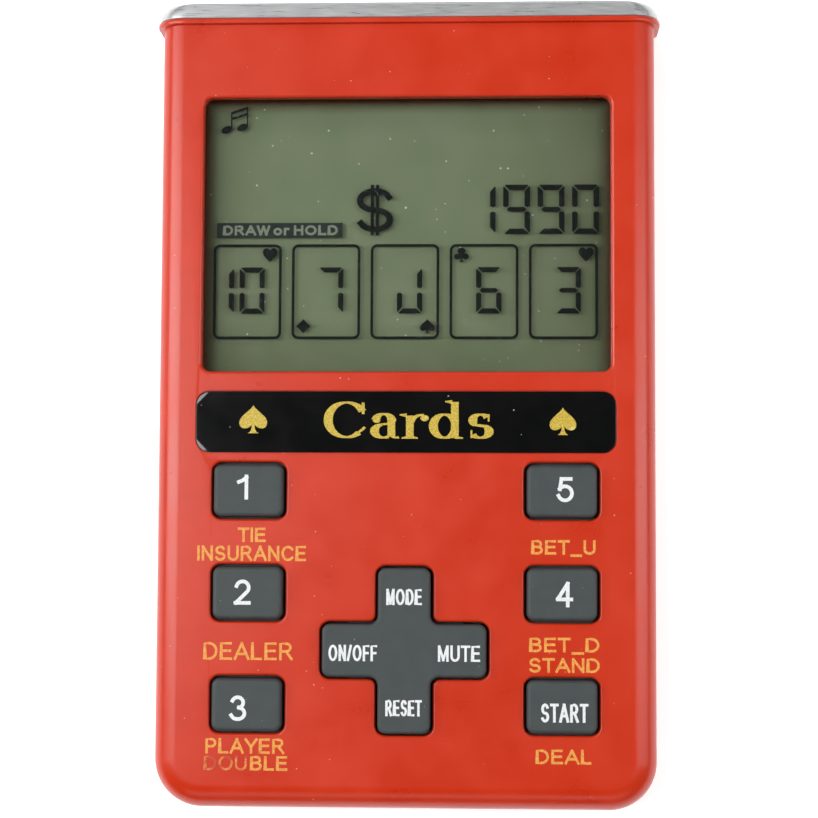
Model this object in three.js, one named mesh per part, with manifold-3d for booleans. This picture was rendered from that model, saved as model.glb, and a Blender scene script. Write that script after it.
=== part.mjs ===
// Pocket LCD card game: a flat two-shell case that holds a glass display, a board, two button
// cells and a rubber keypad. Millimetres, +Z out of the face, +Y towards the end cap. The origin
// is the middle of the case on the back face, so the case lies on z = 0.
import * as THREE from "three";
import { mergeVertices } from "three/addons/utils/BufferGeometryUtils.js";
import Module from "manifold-3d";

const wasm = await Module();
wasm.setup();

// ---- Driving dimensions ----------------------------------------------------------------------
const GAP = 0.05; // air between fixed neighbours
const FILM = 0.01; // air between pieces that lie on each other
const BITE = 0.1; // how far joined solids reach into each other
const FAR = 99; // past everything, for tools that cut the case off
const LENGTH = 101; // foot of the case to the end cap
const BODY_WIDTH = 62.5;
const BODY_THICK = 8.8;
const WALL = 1.4;
const BACK_WALL = 1.2;
const PARTING_Z = 4.4; // where the two shells meet
const FACE_FILLET = 3; // round edge between the face and the sides
const BACK_FILLET = 1.2;
const FOOT_CORNER = 6; // the two round corners at the foot, seen from the front

const LIP_WIDTH = 64; // flange at the far end, proud of the sides and the face
const LIP_THICK = 9.5;
const LIP_LENGTH = 0.65;
const LIP_CORNER = 3.8;
const CAP_WIDTH = 63.6;
const CAP_THICK = 9.4;
const CAP_LENGTH = 1.95;
const CAP_CORNER = 1.75; // its two far corners, seen from the front
const PEG = { x: 18, width: 6, zLow: 5.4, zHigh: 7, reach: 2.6, clearance: 0.15 };

const WINDOW = { width: 51.25, height: 34.7, y: 21.1, corner: 1.1 };
const LABEL = { width: 52.3, height: 7.65, y: -2.6, corner: 1.7, sunk: 0.25, proud: 0.05 };

const KEY_COLUMN_X = 19.45;
const KEY_ROW_Y = [-11.2, -23.9, -37.65];
const KEY_HOLE = { width: 9.3, height: 7.1, corner: 1.2 };
const KEY_CAP = { width: 8.8, height: 6.6, corner: 1, edge: 0.3 };
const KEY_FLANGE = { width: 10.9, height: 8.7, corner: 1.8 };
const KEY_TOP_Z = 9.7;
const FLANGE_LOW_Z = 6;
const FLANGE_HIGH_Z = 7.1;
const STEM_RADIUS = 2.3;
const PILL_RADIUS = 2;
const PILL_THICK = 0.3;
const PILL_LOW_Z = 5.15;

const CROSS = { y: -30.9, span: 20.3, arm: 6.5, corner: 0.95, inner: 1.1, edge: 0.3 };
const CROSS_HOLE_GAP = 0.3;
const CROSS_FLANGE = { radius: 8, zHigh: 6.5 };
const CROSS_PILL_REACH = 7;
const NUB = { radius: 1.5, zLow: 5.15, zHigh: 5.85 };

const BOARD = { halfWidth: 28, yLow: -47, yHigh: 40.3, zLow: 3.5, zHigh: 4.3, corner: 4 };
const MAT = { halfWidth: 25.2, yLow: -44.5, yHigh: -6.9, zLow: 4.35, zHigh: 4.95, hole: 3.1 };

const CELL = { radius: 5.8, height: 5.4, x: 6.2, y: -11, zLow: 1.25 };
const BAY = { width: 24.6, height: 12.1, wall: 0.9, top: 6.6 };
const CONTACT = { low: 6.72, thick: 0.2, half: 1.5, pad: 3.4, foot: 1.5 };
const BRIDGE = { halfWidth: 7, halfHeight: 1.8, thick: 0.2 };
const DOOR = { width: 28, yLow: -19, yHigh: -3, zLow: 0.15, zHigh: 0.95, corner: 1 };
const DOOR_TRAVEL = 4;
const DOOR_RECESS_DEPTH = 1;
const RECESS_WALL = 0.8; // wall left behind and around the door's recess
const DOOR_SIDE_GAP = 0.15;
const GRIP = { count: 5, from: 2, pitch: 1.1, half: 5, depth: 0.25 };
const TAB = { length: 2.4, reach: 0.6, zLow: 0.55, gap: 0.1, y: [-6, -14] };

const CASE_BOSS = { front: 2, back: 2.6, pilot: 0.95, pilotTop: 7.1, through: 1.1 };
const HEAD_PIT = { radius: 1.8, depth: 1.5 };
const CASE_SCREW = { head: 1.6, headLow: 0.35, headHigh: 1.45, shank: 0.85, tip: 6.8 };
const BOARD_BOSS = { radius: 1.7, pilot: 0.75, pilotTop: 7, through: 0.95 };
const BOARD_SCREW = { head: 1.4, headLow: 2.55, headHigh: 3.45, shank: 0.65, tip: 6.6 };
const CASE_SCREWS = [[26.5, 43.4], [-26.5, 43.4], [-26.5, -45], [26.5, -45]];
const BOARD_SCREWS = [[27.2, -1.7], [-27.2, -1.7], [-27.2, -31], [27.2, -31]];
const SOUNDER = { y: -33, disc: 7.8, ceramic: 5, seat: 0.4, thick: 0.2 };
const SOUND_HOLES = { radius: 0.5, ring: 2.6, count: 6 };
const LEAD_RADIUS = 0.3;
const BLOB = { x: -15, y: -33, radius: 5, depth: 1.5 };
const CAPACITOR = { x: 14.6, y: -38, width: 3.2, height: 1.6, drop: 1.5 };
const CRYSTAL = { x: 14.6, y: -28, radius: 1, length: 6 };

// The display stack, each layer by its lower and upper height.
const LAYER = {
  frame: [4.35, 6.4],
  zebra: [4.32, 5.78],
  reflector: [4.95, 5.18],
  rearGlass: [5.2, 5.78],
  frontGlass: [5.8, 6.38],
  lens: [6.45, 7.25],
  tape: [7.27, 7.38],
};
const DISPLAY = { halfWidth: 27.6, yLow: 0.7, yHigh: 40.5, rim: 0.9 };
const GLASS_INSET = 1;
const LEDGE_Y = 1.3; // the front glass runs on over the zebra strip
const GLASS_Y = 3.5;
const ZEBRA = { half: 25, yLow: 1.4, yHigh: 3.1 };

const HALF_LENGTH = LENGTH / 2;
const CAP_Y = HALF_LENGTH - CAP_LENGTH; // inner face of the end cap
const LIP_HIGH_Y = CAP_Y - GAP;
const LIP_LOW_Y = LIP_HIGH_Y - LIP_LENGTH; // the case itself ends here
const FACE_INSIDE_Z = BODY_THICK - WALL;

// ---- Materials -------------------------------------------------------------------------------
const paint = (color, roughness, metalness = 0) => ({ color, roughness, metalness });
const RED = paint(0xd24529, 0.38);
const SILVER = paint(0xb4b8b8, 0.32, 0.9);
const RUBBER = paint(0x4c5354, 0.62);
const BLACK = paint(0x0d0d0d, 0.3);
const CLEAR = paint(0xe9efe9, 0.05);
const LCD_GREY = paint(0x6c7560, 0.4);
const CARBON = paint(0x17171a, 0.8);
const BOARD_GREEN = paint(0x1f5a34, 0.45);
const STEEL = paint(0x9a9c9e, 0.3, 1);
const BRASS = paint(0xb8954a, 0.35, 1);
const CREAM = paint(0xe4dfd0, 0.6);

// ---- Solids ----------------------------------------------------------------------------------
function solid(geometry) {
  const bare = geometry.index ? geometry.toNonIndexed() : geometry.clone();
  bare.deleteAttribute("normal");
  bare.deleteAttribute("uv");
  const merged = mergeVertices(bare, 1e-4);
  return new wasm.Manifold(
    new wasm.Mesh({
      numProp: 3,
      vertProperties: new Float32Array(merged.attributes.position.array),
      triVerts: new Uint32Array(merged.index.array),
    }),
  );
}

function geometryOf(made) {
  const mesh = made.getMesh();
  const geometry = new THREE.BufferGeometry();
  geometry.setAttribute("position", new THREE.BufferAttribute(mesh.vertProperties, 3));
  geometry.setIndex(new THREE.BufferAttribute(mesh.triVerts, 1));
  geometry.computeVertexNormals();
  return geometry;
}

const join = (...solids) => solids.reduce((whole, next) => whole.add(next));
const cut = (from, ...tools) => tools.reduce((rest, tool) => rest.subtract(tool), from);

// A rectangle with round corners, its middle at x, y.
function roundedRectangle(width, height, corner, x = 0, y = 0) {
  const [left, right] = [x - width / 2, x + width / 2];
  const [low, high] = [y - height / 2, y + height / 2];
  const shape = new THREE.Shape();
  shape.moveTo(left + corner, low);
  shape.lineTo(right - corner, low);
  shape.absarc(right - corner, low + corner, corner, -Math.PI / 2, 0);
  shape.lineTo(right, high - corner);
  shape.absarc(right - corner, high - corner, corner, 0, Math.PI / 2);
  shape.lineTo(left + corner, high);
  shape.absarc(left + corner, high - corner, corner, Math.PI / 2, Math.PI);
  shape.lineTo(left, low + corner);
  shape.absarc(left + corner, low + corner, corner, Math.PI, Math.PI * 1.5);
  return shape;
}

// A plain slab of a shape between two heights.
function slab(shape, zLow, zHigh, curveSegments = 3) {
  const depth = zHigh - zLow;
  const geometry = new THREE.ExtrudeGeometry(shape, { depth, bevelEnabled: false, curveSegments });
  return solid(geometry.translate(0, 0, zLow));
}

// A slab whose upper edge is rounded: both edges are, and the lower one is cut away.
function roundTopped(shape, zLow, zHigh, radius, steps = 2, curveSegments = 2) {
  const geometry = new THREE.ExtrudeGeometry(shape, {
    depth: zHigh - zLow,
    bevelThickness: radius,
    bevelSize: radius,
    bevelOffset: -radius,
    bevelSegments: steps,
    curveSegments,
  });
  const whole = solid(geometry.translate(0, 0, zLow - radius));
  return cut(whole, box([-FAR, -FAR, zLow - 2 * radius - 1], [FAR, FAR, zLow]));
}

function box(low, high) {
  const size = low.map((value, axis) => high[axis] - value);
  const middle = low.map((value, axis) => (high[axis] + value) / 2);
  return solid(new THREE.BoxGeometry(...size).translate(...middle));
}

function drum(radius, x, y, zLow, zHigh, sides = 16) {
  const geometry = new THREE.CylinderGeometry(radius, radius, zHigh - zLow, sides);
  return solid(geometry.rotateX(Math.PI / 2).translate(x, y, (zLow + zHigh) / 2));
}

// A solid of revolution about the vertical through x, y: profile holds [radius, z] pairs.
function turned(profile, x, y, sides = 16) {
  const points = profile.map(([radius, z]) => new THREE.Vector2(radius, z));
  const geometry = new THREE.LatheGeometry(points, sides).rotateX(Math.PI / 2);
  return solid(geometry.translate(x, y, 0));
}

// The end flange and cap share a section across the case: round at the face, tighter at the back.
function endSection(width, zLow, zHigh) {
  const shape = new THREE.Shape();
  const [right, back] = [width / 2, BACK_FILLET];
  const face = LIP_CORNER;
  shape.moveTo(-right + back, zLow);
  shape.lineTo(right - back, zLow);
  shape.absarc(right - back, zLow + back, back, -Math.PI / 2, 0);
  shape.lineTo(right, zHigh - face);
  shape.absarc(right - face, zHigh - face, face, 0, Math.PI / 2);
  shape.lineTo(-right + face, zHigh);
  shape.absarc(-right + face, zHigh - face, face, Math.PI / 2, Math.PI);
  shape.lineTo(-right, zLow + back);
  shape.absarc(-right + back, zLow + back, back, Math.PI, Math.PI * 1.5);
  return shape;
}

// Pushes a section drawn across the case (x, z) along the case from yLow to yHigh.
function pushedAlong(shape, yLow, yHigh) {
  const options = { depth: yHigh - yLow, bevelEnabled: false, curveSegments: 4 };
  const geometry = new THREE.ExtrudeGeometry(shape, options);
  return solid(geometry.rotateX(Math.PI / 2).translate(0, yHigh, 0));
}

// ---- Case outline ----------------------------------------------------------------------------
// Outline of the case, drawn smaller by inset. It runs on past the far end, where it is cut.
function caseOutline(inset = 0) {
  const side = BODY_WIDTH / 2 - inset;
  const foot = -HALF_LENGTH + inset;
  const corner = FOOT_CORNER - inset;
  const beyond = HALF_LENGTH + 10;
  const shape = new THREE.Shape();
  shape.moveTo(-side + corner, foot);
  shape.lineTo(side - corner, foot);
  shape.absarc(side - corner, foot + corner, corner, -Math.PI / 2, 0);
  shape.lineTo(side, beyond);
  shape.lineTo(-side, beyond);
  shape.lineTo(-side, foot + corner);
  shape.absarc(-side + corner, foot + corner, corner, Math.PI, Math.PI * 1.5);
  return shape;
}

const beyondEnd = (y) => box([-FAR, y, -FAR], [FAR, FAR, FAR]);

function cavity(zLow, zHigh, fillet) {
  const hollow = roundTopped(caseOutline(WALL), zLow, zHigh, fillet, 3, 3);
  return cut(hollow, beyondEnd(LIP_LOW_Y - WALL));
}

// The flange at the far end, from one height to another.
function lip(zLow, zHigh) {
  const ring = pushedAlong(endSection(LIP_WIDTH, 0, LIP_THICK), LIP_LOW_Y, LIP_HIGH_Y);
  return ring.intersect(box([-FAR, LIP_LOW_Y, zLow], [FAR, LIP_HIGH_Y, zHigh]));
}

// ---- Keypad layout ---------------------------------------------------------------------------
const KEYS = [
  { name: "1", x: -KEY_COLUMN_X, y: KEY_ROW_Y[0] },
  { name: "2", x: -KEY_COLUMN_X, y: KEY_ROW_Y[1] },
  { name: "3", x: -KEY_COLUMN_X, y: KEY_ROW_Y[2] },
  { name: "5", x: KEY_COLUMN_X, y: KEY_ROW_Y[0] },
  { name: "4", x: KEY_COLUMN_X, y: KEY_ROW_Y[1] },
  { name: "start", x: KEY_COLUMN_X, y: KEY_ROW_Y[2] },
];
const CROSS_PILLS = [
  { name: "mode", x: 0, y: CROSS.y + CROSS_PILL_REACH },
  { name: "on_off", x: -CROSS_PILL_REACH, y: CROSS.y },
  { name: "mute", x: CROSS_PILL_REACH, y: CROSS.y },
  { name: "reset", x: 0, y: CROSS.y - CROSS_PILL_REACH },
];

// A plus: outer corners rounded by corner, the four inner ones by inner, all grown by grow.
function crossShape(grow = 0) {
  const reach = CROSS.span / 2 + grow;
  const half = CROSS.arm / 2 + grow;
  const outer = CROSS.corner + grow;
  const inner = CROSS.inner - grow;
  const shape = new THREE.Shape();
  for (let arm = 0; arm < 4; arm++) {
    const turn = (arm * Math.PI) / 2;
    const [cos, sin] = [Math.round(Math.cos(turn)), Math.round(Math.sin(turn))];
    const place = (x, y) => [x * cos - y * sin, x * sin + y * cos + CROSS.y];
    const start = place(half + inner, -half);
    if (arm === 0) shape.moveTo(...start);
    else shape.lineTo(...start);
    shape.lineTo(...place(reach - outer, -half));
    shape.absarc(...place(reach - outer, -half + outer), outer, turn - Math.PI / 2, turn);
    shape.lineTo(...place(reach, half - outer));
    shape.absarc(...place(reach - outer, half - outer), outer, turn, turn + Math.PI / 2);
    shape.lineTo(...place(half + inner, half));
    shape.absarc(...place(half + inner, half + inner), inner, turn - Math.PI / 2, turn - Math.PI, true);
  }
  return shape;
}

// ---- Case ------------------------------------------------------------------------------------
function frontHousing() {
  const block = roundTopped(caseOutline(), PARTING_Z, BODY_THICK, FACE_FILLET, 5, 4);
  const skin = join(cut(block, beyondEnd(LIP_LOW_Y)), lip(PARTING_Z, LIP_THICK));
  let shell = cut(skin, cavity(PARTING_Z - 2, FACE_INSIDE_Z, FACE_FILLET - WALL));
  const bossTop = FACE_INSIDE_Z + BITE;
  for (const [x, y] of CASE_SCREWS) {
    shell = join(shell, drum(CASE_BOSS.front, x, y, PARTING_Z, bossTop));
    shell = cut(shell, drum(CASE_BOSS.pilot, x, y, 0, CASE_BOSS.pilotTop, 10));
  }
  for (const [x, y] of BOARD_SCREWS) {
    shell = join(shell, drum(BOARD_BOSS.radius, x, y, BOARD.zHigh + GAP, bossTop));
    shell = cut(shell, drum(BOARD_BOSS.pilot, x, y, 0, BOARD_BOSS.pilotTop, 10));
  }
  const window = roundedRectangle(WINDOW.width, WINDOW.height, WINDOW.corner, 0, WINDOW.y);
  shell = cut(shell, slab(window, PARTING_Z, BODY_THICK + 1, 3));
  const seat = roundedRectangle(LABEL.width + 0.2, LABEL.height + 0.2, LABEL.corner, 0, LABEL.y);
  shell = cut(shell, slab(seat, BODY_THICK - LABEL.sunk, BODY_THICK + 1));
  for (const key of KEYS) {
    const hole = roundedRectangle(KEY_HOLE.width, KEY_HOLE.height, KEY_HOLE.corner, key.x, key.y);
    shell = cut(shell, slab(hole, PARTING_Z, BODY_THICK + 1, 2));
  }
  shell = cut(shell, slab(crossShape(CROSS_HOLE_GAP), PARTING_Z, BODY_THICK + 1, 2));
  for (const side of [-1, 1]) shell = cut(shell, peg(side, PEG.clearance, CAP_LENGTH));
  return shell;
}

// One of the two pegs that hold the end cap, or the slot for it when grown by clearance.
function peg(side, clearance, extra) {
  const half = PEG.width / 2 + clearance;
  const low = [side * PEG.x - half, CAP_Y - PEG.reach - clearance, PEG.zLow - clearance];
  return box(low, [side * PEG.x + half, CAP_Y + extra, PEG.zHigh + clearance]);
}

// The cap follows the flange's section, and its far corners are round when seen from the front.
function topCap() {
  const bar = pushedAlong(endSection(CAP_WIDTH, GAP, GAP + CAP_THICK), CAP_Y, HALF_LENGTH + 1);
  const middle = HALF_LENGTH - CAP_WIDTH / 2;
  const plan = roundedRectangle(CAP_WIDTH + BITE, CAP_WIDTH, CAP_CORNER, 0, middle);
  const plate = bar.intersect(slab(plan, -1, LIP_THICK + 1, 4));
  return join(plate, peg(-1, 0, BITE), peg(1, 0, BITE));
}

function backHousing() {
  const top = PARTING_Z - GAP;
  const flipped = roundTopped(caseOutline(), -top, 0, BACK_FILLET, 3, 4).mirror([0, 0, 1]);
  let shell = cut(join(cut(flipped, beyondEnd(LIP_LOW_Y)), lip(0, top)), cavityAboveBack(top));
  const recess = {
    width: DOOR.width + 2 * DOOR_SIDE_GAP,
    yLow: DOOR.yLow - DOOR_TRAVEL - DOOR_SIDE_GAP,
    yHigh: DOOR.yHigh + DOOR_SIDE_GAP,
  };
  const half = recess.width / 2;
  const padHalf = half + 2 * RECESS_WALL;
  const padLow = [-padHalf, recess.yLow - RECESS_WALL, BACK_WALL - BITE];
  const padHigh = [padHalf, recess.yHigh + RECESS_WALL, DOOR_RECESS_DEPTH + RECESS_WALL];
  shell = join(shell, box(padLow, padHigh));
  const chimney = [BAY.width + 2 * BAY.wall, BAY.height + 2 * BAY.wall];
  const outside = roundedRectangle(...chimney, chimney[1] / 2, 0, CELL.y);
  shell = join(shell, slab(outside, BACK_WALL, BAY.top, 6));
  const inside = roundedRectangle(BAY.width, BAY.height, BAY.height / 2, 0, CELL.y);
  shell = cut(shell, slab(inside, -1, BAY.top + 1, 6));
  shell = cut(shell, box([-half, recess.yLow, -1], [half, recess.yHigh, DOOR_RECESS_DEPTH]));
  shell = cutDoorTracks(shell, half);
  for (const [x, y] of CASE_SCREWS) {
    shell = join(shell, drum(CASE_BOSS.back, x, y, BACK_WALL - BITE, top));
    shell = cut(shell, drum(HEAD_PIT.radius, x, y, -1, HEAD_PIT.depth));
    shell = cut(shell, drum(CASE_BOSS.through, x, y, -1, top + 1, 12));
  }
  const [seatInner, seatTop] = [SOUNDER.disc - 1, BACK_WALL + SOUNDER.seat];
  const seat = drum(SOUNDER.disc, 0, SOUNDER.y, BACK_WALL - BITE, seatTop, 24);
  shell = join(shell, cut(seat, drum(seatInner, 0, SOUNDER.y, 0, seatTop + 1, 24)));
  shell = cut(shell, soundHole(0, SOUNDER.y));
  for (let hole = 0; hole < SOUND_HOLES.count; hole++) {
    const turn = (hole / SOUND_HOLES.count) * 2 * Math.PI;
    const [x, y] = [SOUND_HOLES.ring * Math.cos(turn), SOUND_HOLES.ring * Math.sin(turn)];
    shell = cut(shell, soundHole(x, SOUNDER.y + y));
  }
  return shell;
}

const soundHole = (x, y) => drum(SOUND_HOLES.radius, x, y, -1, BACK_WALL + BITE, 10);

function cavityAboveBack(top) {
  const hollow = slab(caseOutline(WALL), BACK_WALL, top + 1, 3);
  return cut(hollow, beyondEnd(LIP_LOW_Y - WALL));
}

// Grooves that the door's tabs run in, and the notches where the tabs lift out after the travel.
function cutDoorTracks(shell, half) {
  let rest = shell;
  for (const side of [-1, 1])
    for (const y of TAB.y) {
      const near = side * (half - BITE);
      const far = side * (DOOR.width / 2 + TAB.reach + DOOR_SIDE_GAP);
      const [left, right] = near < far ? [near, far] : [far, near];
      const halfTab = TAB.length / 2 + 2 * TAB.gap;
      const low = y - DOOR_TRAVEL - halfTab;
      rest = cut(rest, box([left, low, TAB.zLow - TAB.gap], [right, y + halfTab, DOOR_RECESS_DEPTH]));
      rest = cut(rest, box([left, low, -1], [right, low + 2 * halfTab, DOOR_RECESS_DEPTH]));
    }
  return rest;
}

function batteryDoor() {
  const [length, y] = [DOOR.yHigh - DOOR.yLow, (DOOR.yHigh + DOOR.yLow) / 2];
  let door = slab(roundedRectangle(DOOR.width, length, DOOR.corner, 0, y), DOOR.zLow, DOOR.zHigh);
  for (const side of [-1, 1])
    for (const tabY of TAB.y) {
      const near = side * (DOOR.width / 2 - BITE);
      const far = side * (DOOR.width / 2 + TAB.reach);
      const low = [Math.min(near, far), tabY - TAB.length / 2, TAB.zLow];
      door = join(door, box(low, [Math.max(near, far), tabY + TAB.length / 2, DOOR.zHigh]));
    }
  for (let groove = 0; groove < GRIP.count; groove++) {
    const low = DOOR.yLow + GRIP.from + groove * GRIP.pitch;
    const high = [GRIP.half, low + GRIP.pitch / 2, DOOR.zLow + GRIP.depth];
    door = cut(door, box([-GRIP.half, low, -1], high));
  }
  return door;
}

// ---- Display ---------------------------------------------------------------------------------
function displayPlate(inset, yLow, [zLow, zHigh]) {
  const side = DISPLAY.halfWidth - inset;
  return box([-side, yLow, zLow], [side, DISPLAY.yHigh - inset, zHigh]);
}

// The holder: a rim round the glass, with a step for the ledge and a slot for the zebra strip.
function displayFrame() {
  const [low, high] = LAYER.frame;
  const through = [low - 1, high + 1];
  const ledgeSide = DISPLAY.halfWidth - DISPLAY.rim;
  return cut(
    displayPlate(0, DISPLAY.yLow, LAYER.frame),
    displayPlate(DISPLAY.rim, GLASS_Y - 0.2, through),
    box([-ledgeSide, LEDGE_Y - 0.1, LAYER.frontGlass[0] - GAP], [ledgeSide, GLASS_Y + 0.5, high + 1]),
    box([-ZEBRA.half - 0.2, LEDGE_Y - 0.1, low - 1], [ZEBRA.half + 0.2, ZEBRA.yHigh + 0.1, high + 1]),
  );
}

function paneOutline(inset) {
  const [middle, height] = [(DISPLAY.yLow + DISPLAY.yHigh) / 2, DISPLAY.yHigh - DISPLAY.yLow];
  return roundedRectangle(2 * (DISPLAY.halfWidth - inset), height - 2 * inset, 1, 0, middle);
}

function lensTape() {
  const opening = roundedRectangle(WINDOW.width + 1, WINDOW.height + 1, 1.2, 0, WINDOW.y);
  const tape = slab(paneOutline(0.2), ...LAYER.tape);
  return cut(tape, slab(opening, LAYER.tape[0] - 1, LAYER.tape[1] + 1));
}

// ---- Keys ------------------------------------------------------------------------------------
function pushKey({ x, y }) {
  const cap = roundedRectangle(KEY_CAP.width, KEY_CAP.height, KEY_CAP.corner, x, y);
  const flange = roundedRectangle(KEY_FLANGE.width, KEY_FLANGE.height, KEY_FLANGE.corner, x, y);
  return join(
    roundTopped(cap, FLANGE_LOW_Z + BITE, KEY_TOP_Z, KEY_CAP.edge),
    slab(flange, FLANGE_LOW_Z, FLANGE_HIGH_Z, 2),
    stem(x, y),
  );
}

// The post under a key that carries its pill.
const stem = (x, y) =>
  drum(STEM_RADIUS, x, y, PILL_LOW_Z + PILL_THICK, FLANGE_LOW_Z + BITE, 12);

function crossKey() {
  let key = join(
    roundTopped(crossShape(), FLANGE_LOW_Z, KEY_TOP_Z, CROSS.edge),
    drum(CROSS_FLANGE.radius, 0, CROSS.y, FLANGE_LOW_Z, CROSS_FLANGE.zHigh, 28),
  );
  for (const { x, y } of CROSS_PILLS) key = join(key, stem(x, y));
  return key;
}

const pill = ({ x, y }) => drum(PILL_RADIUS, x, y, PILL_LOW_Z, PILL_LOW_Z + PILL_THICK, 12);

function keypadMat() {
  const [height, y] = [MAT.yHigh - MAT.yLow, (MAT.yHigh + MAT.yLow) / 2];
  const sheet = roundedRectangle(2 * MAT.halfWidth, height, 2, 0, y);
  let mat = slab(sheet, MAT.zLow, MAT.zHigh, 3);
  const around = BAY.wall + 0.4;
  const bayLow = [-BAY.width / 2 - around, CELL.y - BAY.height / 2 - around, 0];
  mat = cut(mat, box(bayLow, [-bayLow[0], MAT.yHigh + 1, BODY_THICK]));
  for (const { x, y: holeY } of [...KEYS, ...CROSS_PILLS])
    mat = cut(mat, drum(MAT.hole, x, holeY, 0, BODY_THICK, 14));
  return mat;
}

// ---- Electronics -----------------------------------------------------------------------------
function mainBoard() {
  const [height, y] = [BOARD.yHigh - BOARD.yLow, (BOARD.yHigh + BOARD.yLow) / 2];
  const sheet = roundedRectangle(2 * BOARD.halfWidth, height, BOARD.corner, 0, y);
  let board = slab(sheet, BOARD.zLow, BOARD.zHigh, 3);
  const around = 2 * (BAY.wall + 0.4);
  const size = [BAY.width + around, BAY.height + around];
  const hole = roundedRectangle(...size, size[1] / 2, 0, CELL.y);
  board = cut(board, slab(hole, 0, BODY_THICK, 6));
  for (const [x, holeY] of CASE_SCREWS)
    board = cut(board, drum(CASE_BOSS.back + 0.3, x, holeY, 0, BODY_THICK, 14));
  for (const [x, holeY] of BOARD_SCREWS)
    board = cut(board, drum(BOARD_BOSS.through, x, holeY, 0, BODY_THICK, 10));
  return board;
}

// Resin drop over the chip, hanging under the board.
function chipBlob() {
  const { x, y, radius, depth } = BLOB;
  const [steps, top] = [4, BOARD.zLow - FILM];
  const profile = [[0, top - depth]];
  for (let step = 1; step <= steps; step++) {
    const angle = (step / steps) * (Math.PI / 2);
    profile.push([radius * Math.sin(angle), top - depth * Math.cos(angle)]);
  }
  profile.push([0, top]);
  return turned(profile, x, y);
}

function capacitor() {
  const { x, y, width, height, drop } = CAPACITOR;
  const low = [x - width / 2, y - height / 2, BOARD.zLow - drop];
  return box(low, [x + width / 2, y + height / 2, BOARD.zLow - FILM]);
}

// A small can on its side.
function crystal() {
  const { x, y, radius, length } = CRYSTAL;
  const can = new THREE.CylinderGeometry(radius, radius, length, 14);
  return solid(can.translate(x, y, BOARD.zLow - GAP - radius));
}

// A button cell: a can with a smaller round cap, turned over when the cap faces the door.
function buttonCell(x, turnedOver) {
  const { radius, height, zLow } = CELL;
  const [edge, step, capRadius] = [0.4, 0.35, radius - 1.1];
  const profile = [
    [0, 0],
    [radius - edge, 0],
    [radius, edge],
    [radius, height - step - edge],
    [radius - edge, height - step],
    [capRadius, height - step],
    [capRadius, height],
    [0, height],
  ];
  const upright = profile.map(([r, z]) => [r, zLow + z]);
  const upset = profile.map(([r, z]) => [r, zLow + height - z]).reverse();
  return turned(turnedOver ? upset : upright, x, CELL.y, 28);
}

// A sprung strip: a round pad over the cell, an arm over the bay's rim and a foot on the board.
function cellContact(x) {
  const { low, thick, half, pad, foot } = CONTACT;
  const rim = CELL.y + BAY.height / 2 + BAY.wall + 0.5;
  const [high, boardTop] = [low + thick, BOARD.zHigh + GAP];
  return join(
    drum(pad, x, CELL.y, low, high, 18),
    box([x - half, CELL.y, low], [x + half, rim + thick, high]),
    box([x - half, rim, boardTop], [x + half, rim + thick, high]),
    box([x - half, rim, boardTop], [x + half, rim + foot, boardTop + thick]),
  );
}

// The strip on the inside of the door that joins the two cells.
function contactBridge() {
  const { halfWidth, halfHeight, thick } = BRIDGE;
  const low = DOOR.zHigh + FILM;
  const strip = box([-halfWidth, CELL.y - halfHeight, low], [halfWidth, CELL.y + halfHeight, low + thick]);
  return cut(strip, box([-2, CELL.y - 0.5, 0], [2, CELL.y + 0.5, low + 1]));
}

function tube(points, radius) {
  const path = new THREE.CatmullRomCurve3(points.map((point) => new THREE.Vector3(...point)));
  const round = new THREE.Shape().absarc(0, 0, radius, 0, 2 * Math.PI);
  const options = { steps: 10, curveSegments: 3, bevelEnabled: false, extrudePath: path };
  return solid(new THREE.ExtrudeGeometry(round, options));
}

const discLow = BACK_WALL + SOUNDER.seat + FILM;
const discHigh = discLow + SOUNDER.thick;
const ceramicHigh = discHigh + FILM + SOUNDER.thick;
const buzzerDisc = () => drum(SOUNDER.disc, 0, SOUNDER.y, discLow, discHigh, 28);
const buzzerCeramic = () => drum(SOUNDER.ceramic, 0, SOUNDER.y, discHigh + FILM, ceramicHigh, 20);

// A lead from the sounder up to the board: side is 1 or -1, from is its first point.
function buzzerLead(side, from) {
  const joint = [side * 9, SOUNDER.y + 8, BOARD.zLow - LEAD_RADIUS - GAP];
  const bend = [side * 6, SOUNDER.y + 6.5, (from[2] + joint[2]) / 2];
  return tube([from, bend, joint], LEAD_RADIUS);
}
const leadLift = LEAD_RADIUS + 0.08;
const redLead = () => buzzerLead(1, [3, SOUNDER.y + 1, ceramicHigh + leadLift]);
const blackLead = () => buzzerLead(-1, [-3, SOUNDER.y + 6, discHigh + leadLift]);

// ---- Screws ----------------------------------------------------------------------------------
// A pan-head screw, head down, with a cross cut in the head.
function screw([x, y], { head, headLow, headHigh, shank, tip }) {
  const [round, point] = [0.35, 0.6];
  const profile = [
    [0, headLow],
    [head - round, headLow],
    [head, headLow + round],
    [head, headHigh],
    [shank, headHigh],
    [shank, tip - point],
    [shank / 4, tip],
    [0, tip],
  ];
  const [reach, half, deep] = [0.9, 0.2, headLow + 0.5];
  return cut(
    turned(profile, x, y, 12),
    box([x - reach, y - half, 0], [x + reach, y + half, deep]),
    box([x - half, y - reach, 0], [x + half, y + reach, deep]),
  );
}

// ---- Assembly --------------------------------------------------------------------------------
const group = new THREE.Group();

function add(name, made, { color, roughness, metalness }) {
  const material = new THREE.MeshStandardMaterial({ color, roughness, metalness });
  const mesh = new THREE.Mesh(geometryOf(made), material);
  mesh.name = name;
  group.add(mesh);
}

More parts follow.
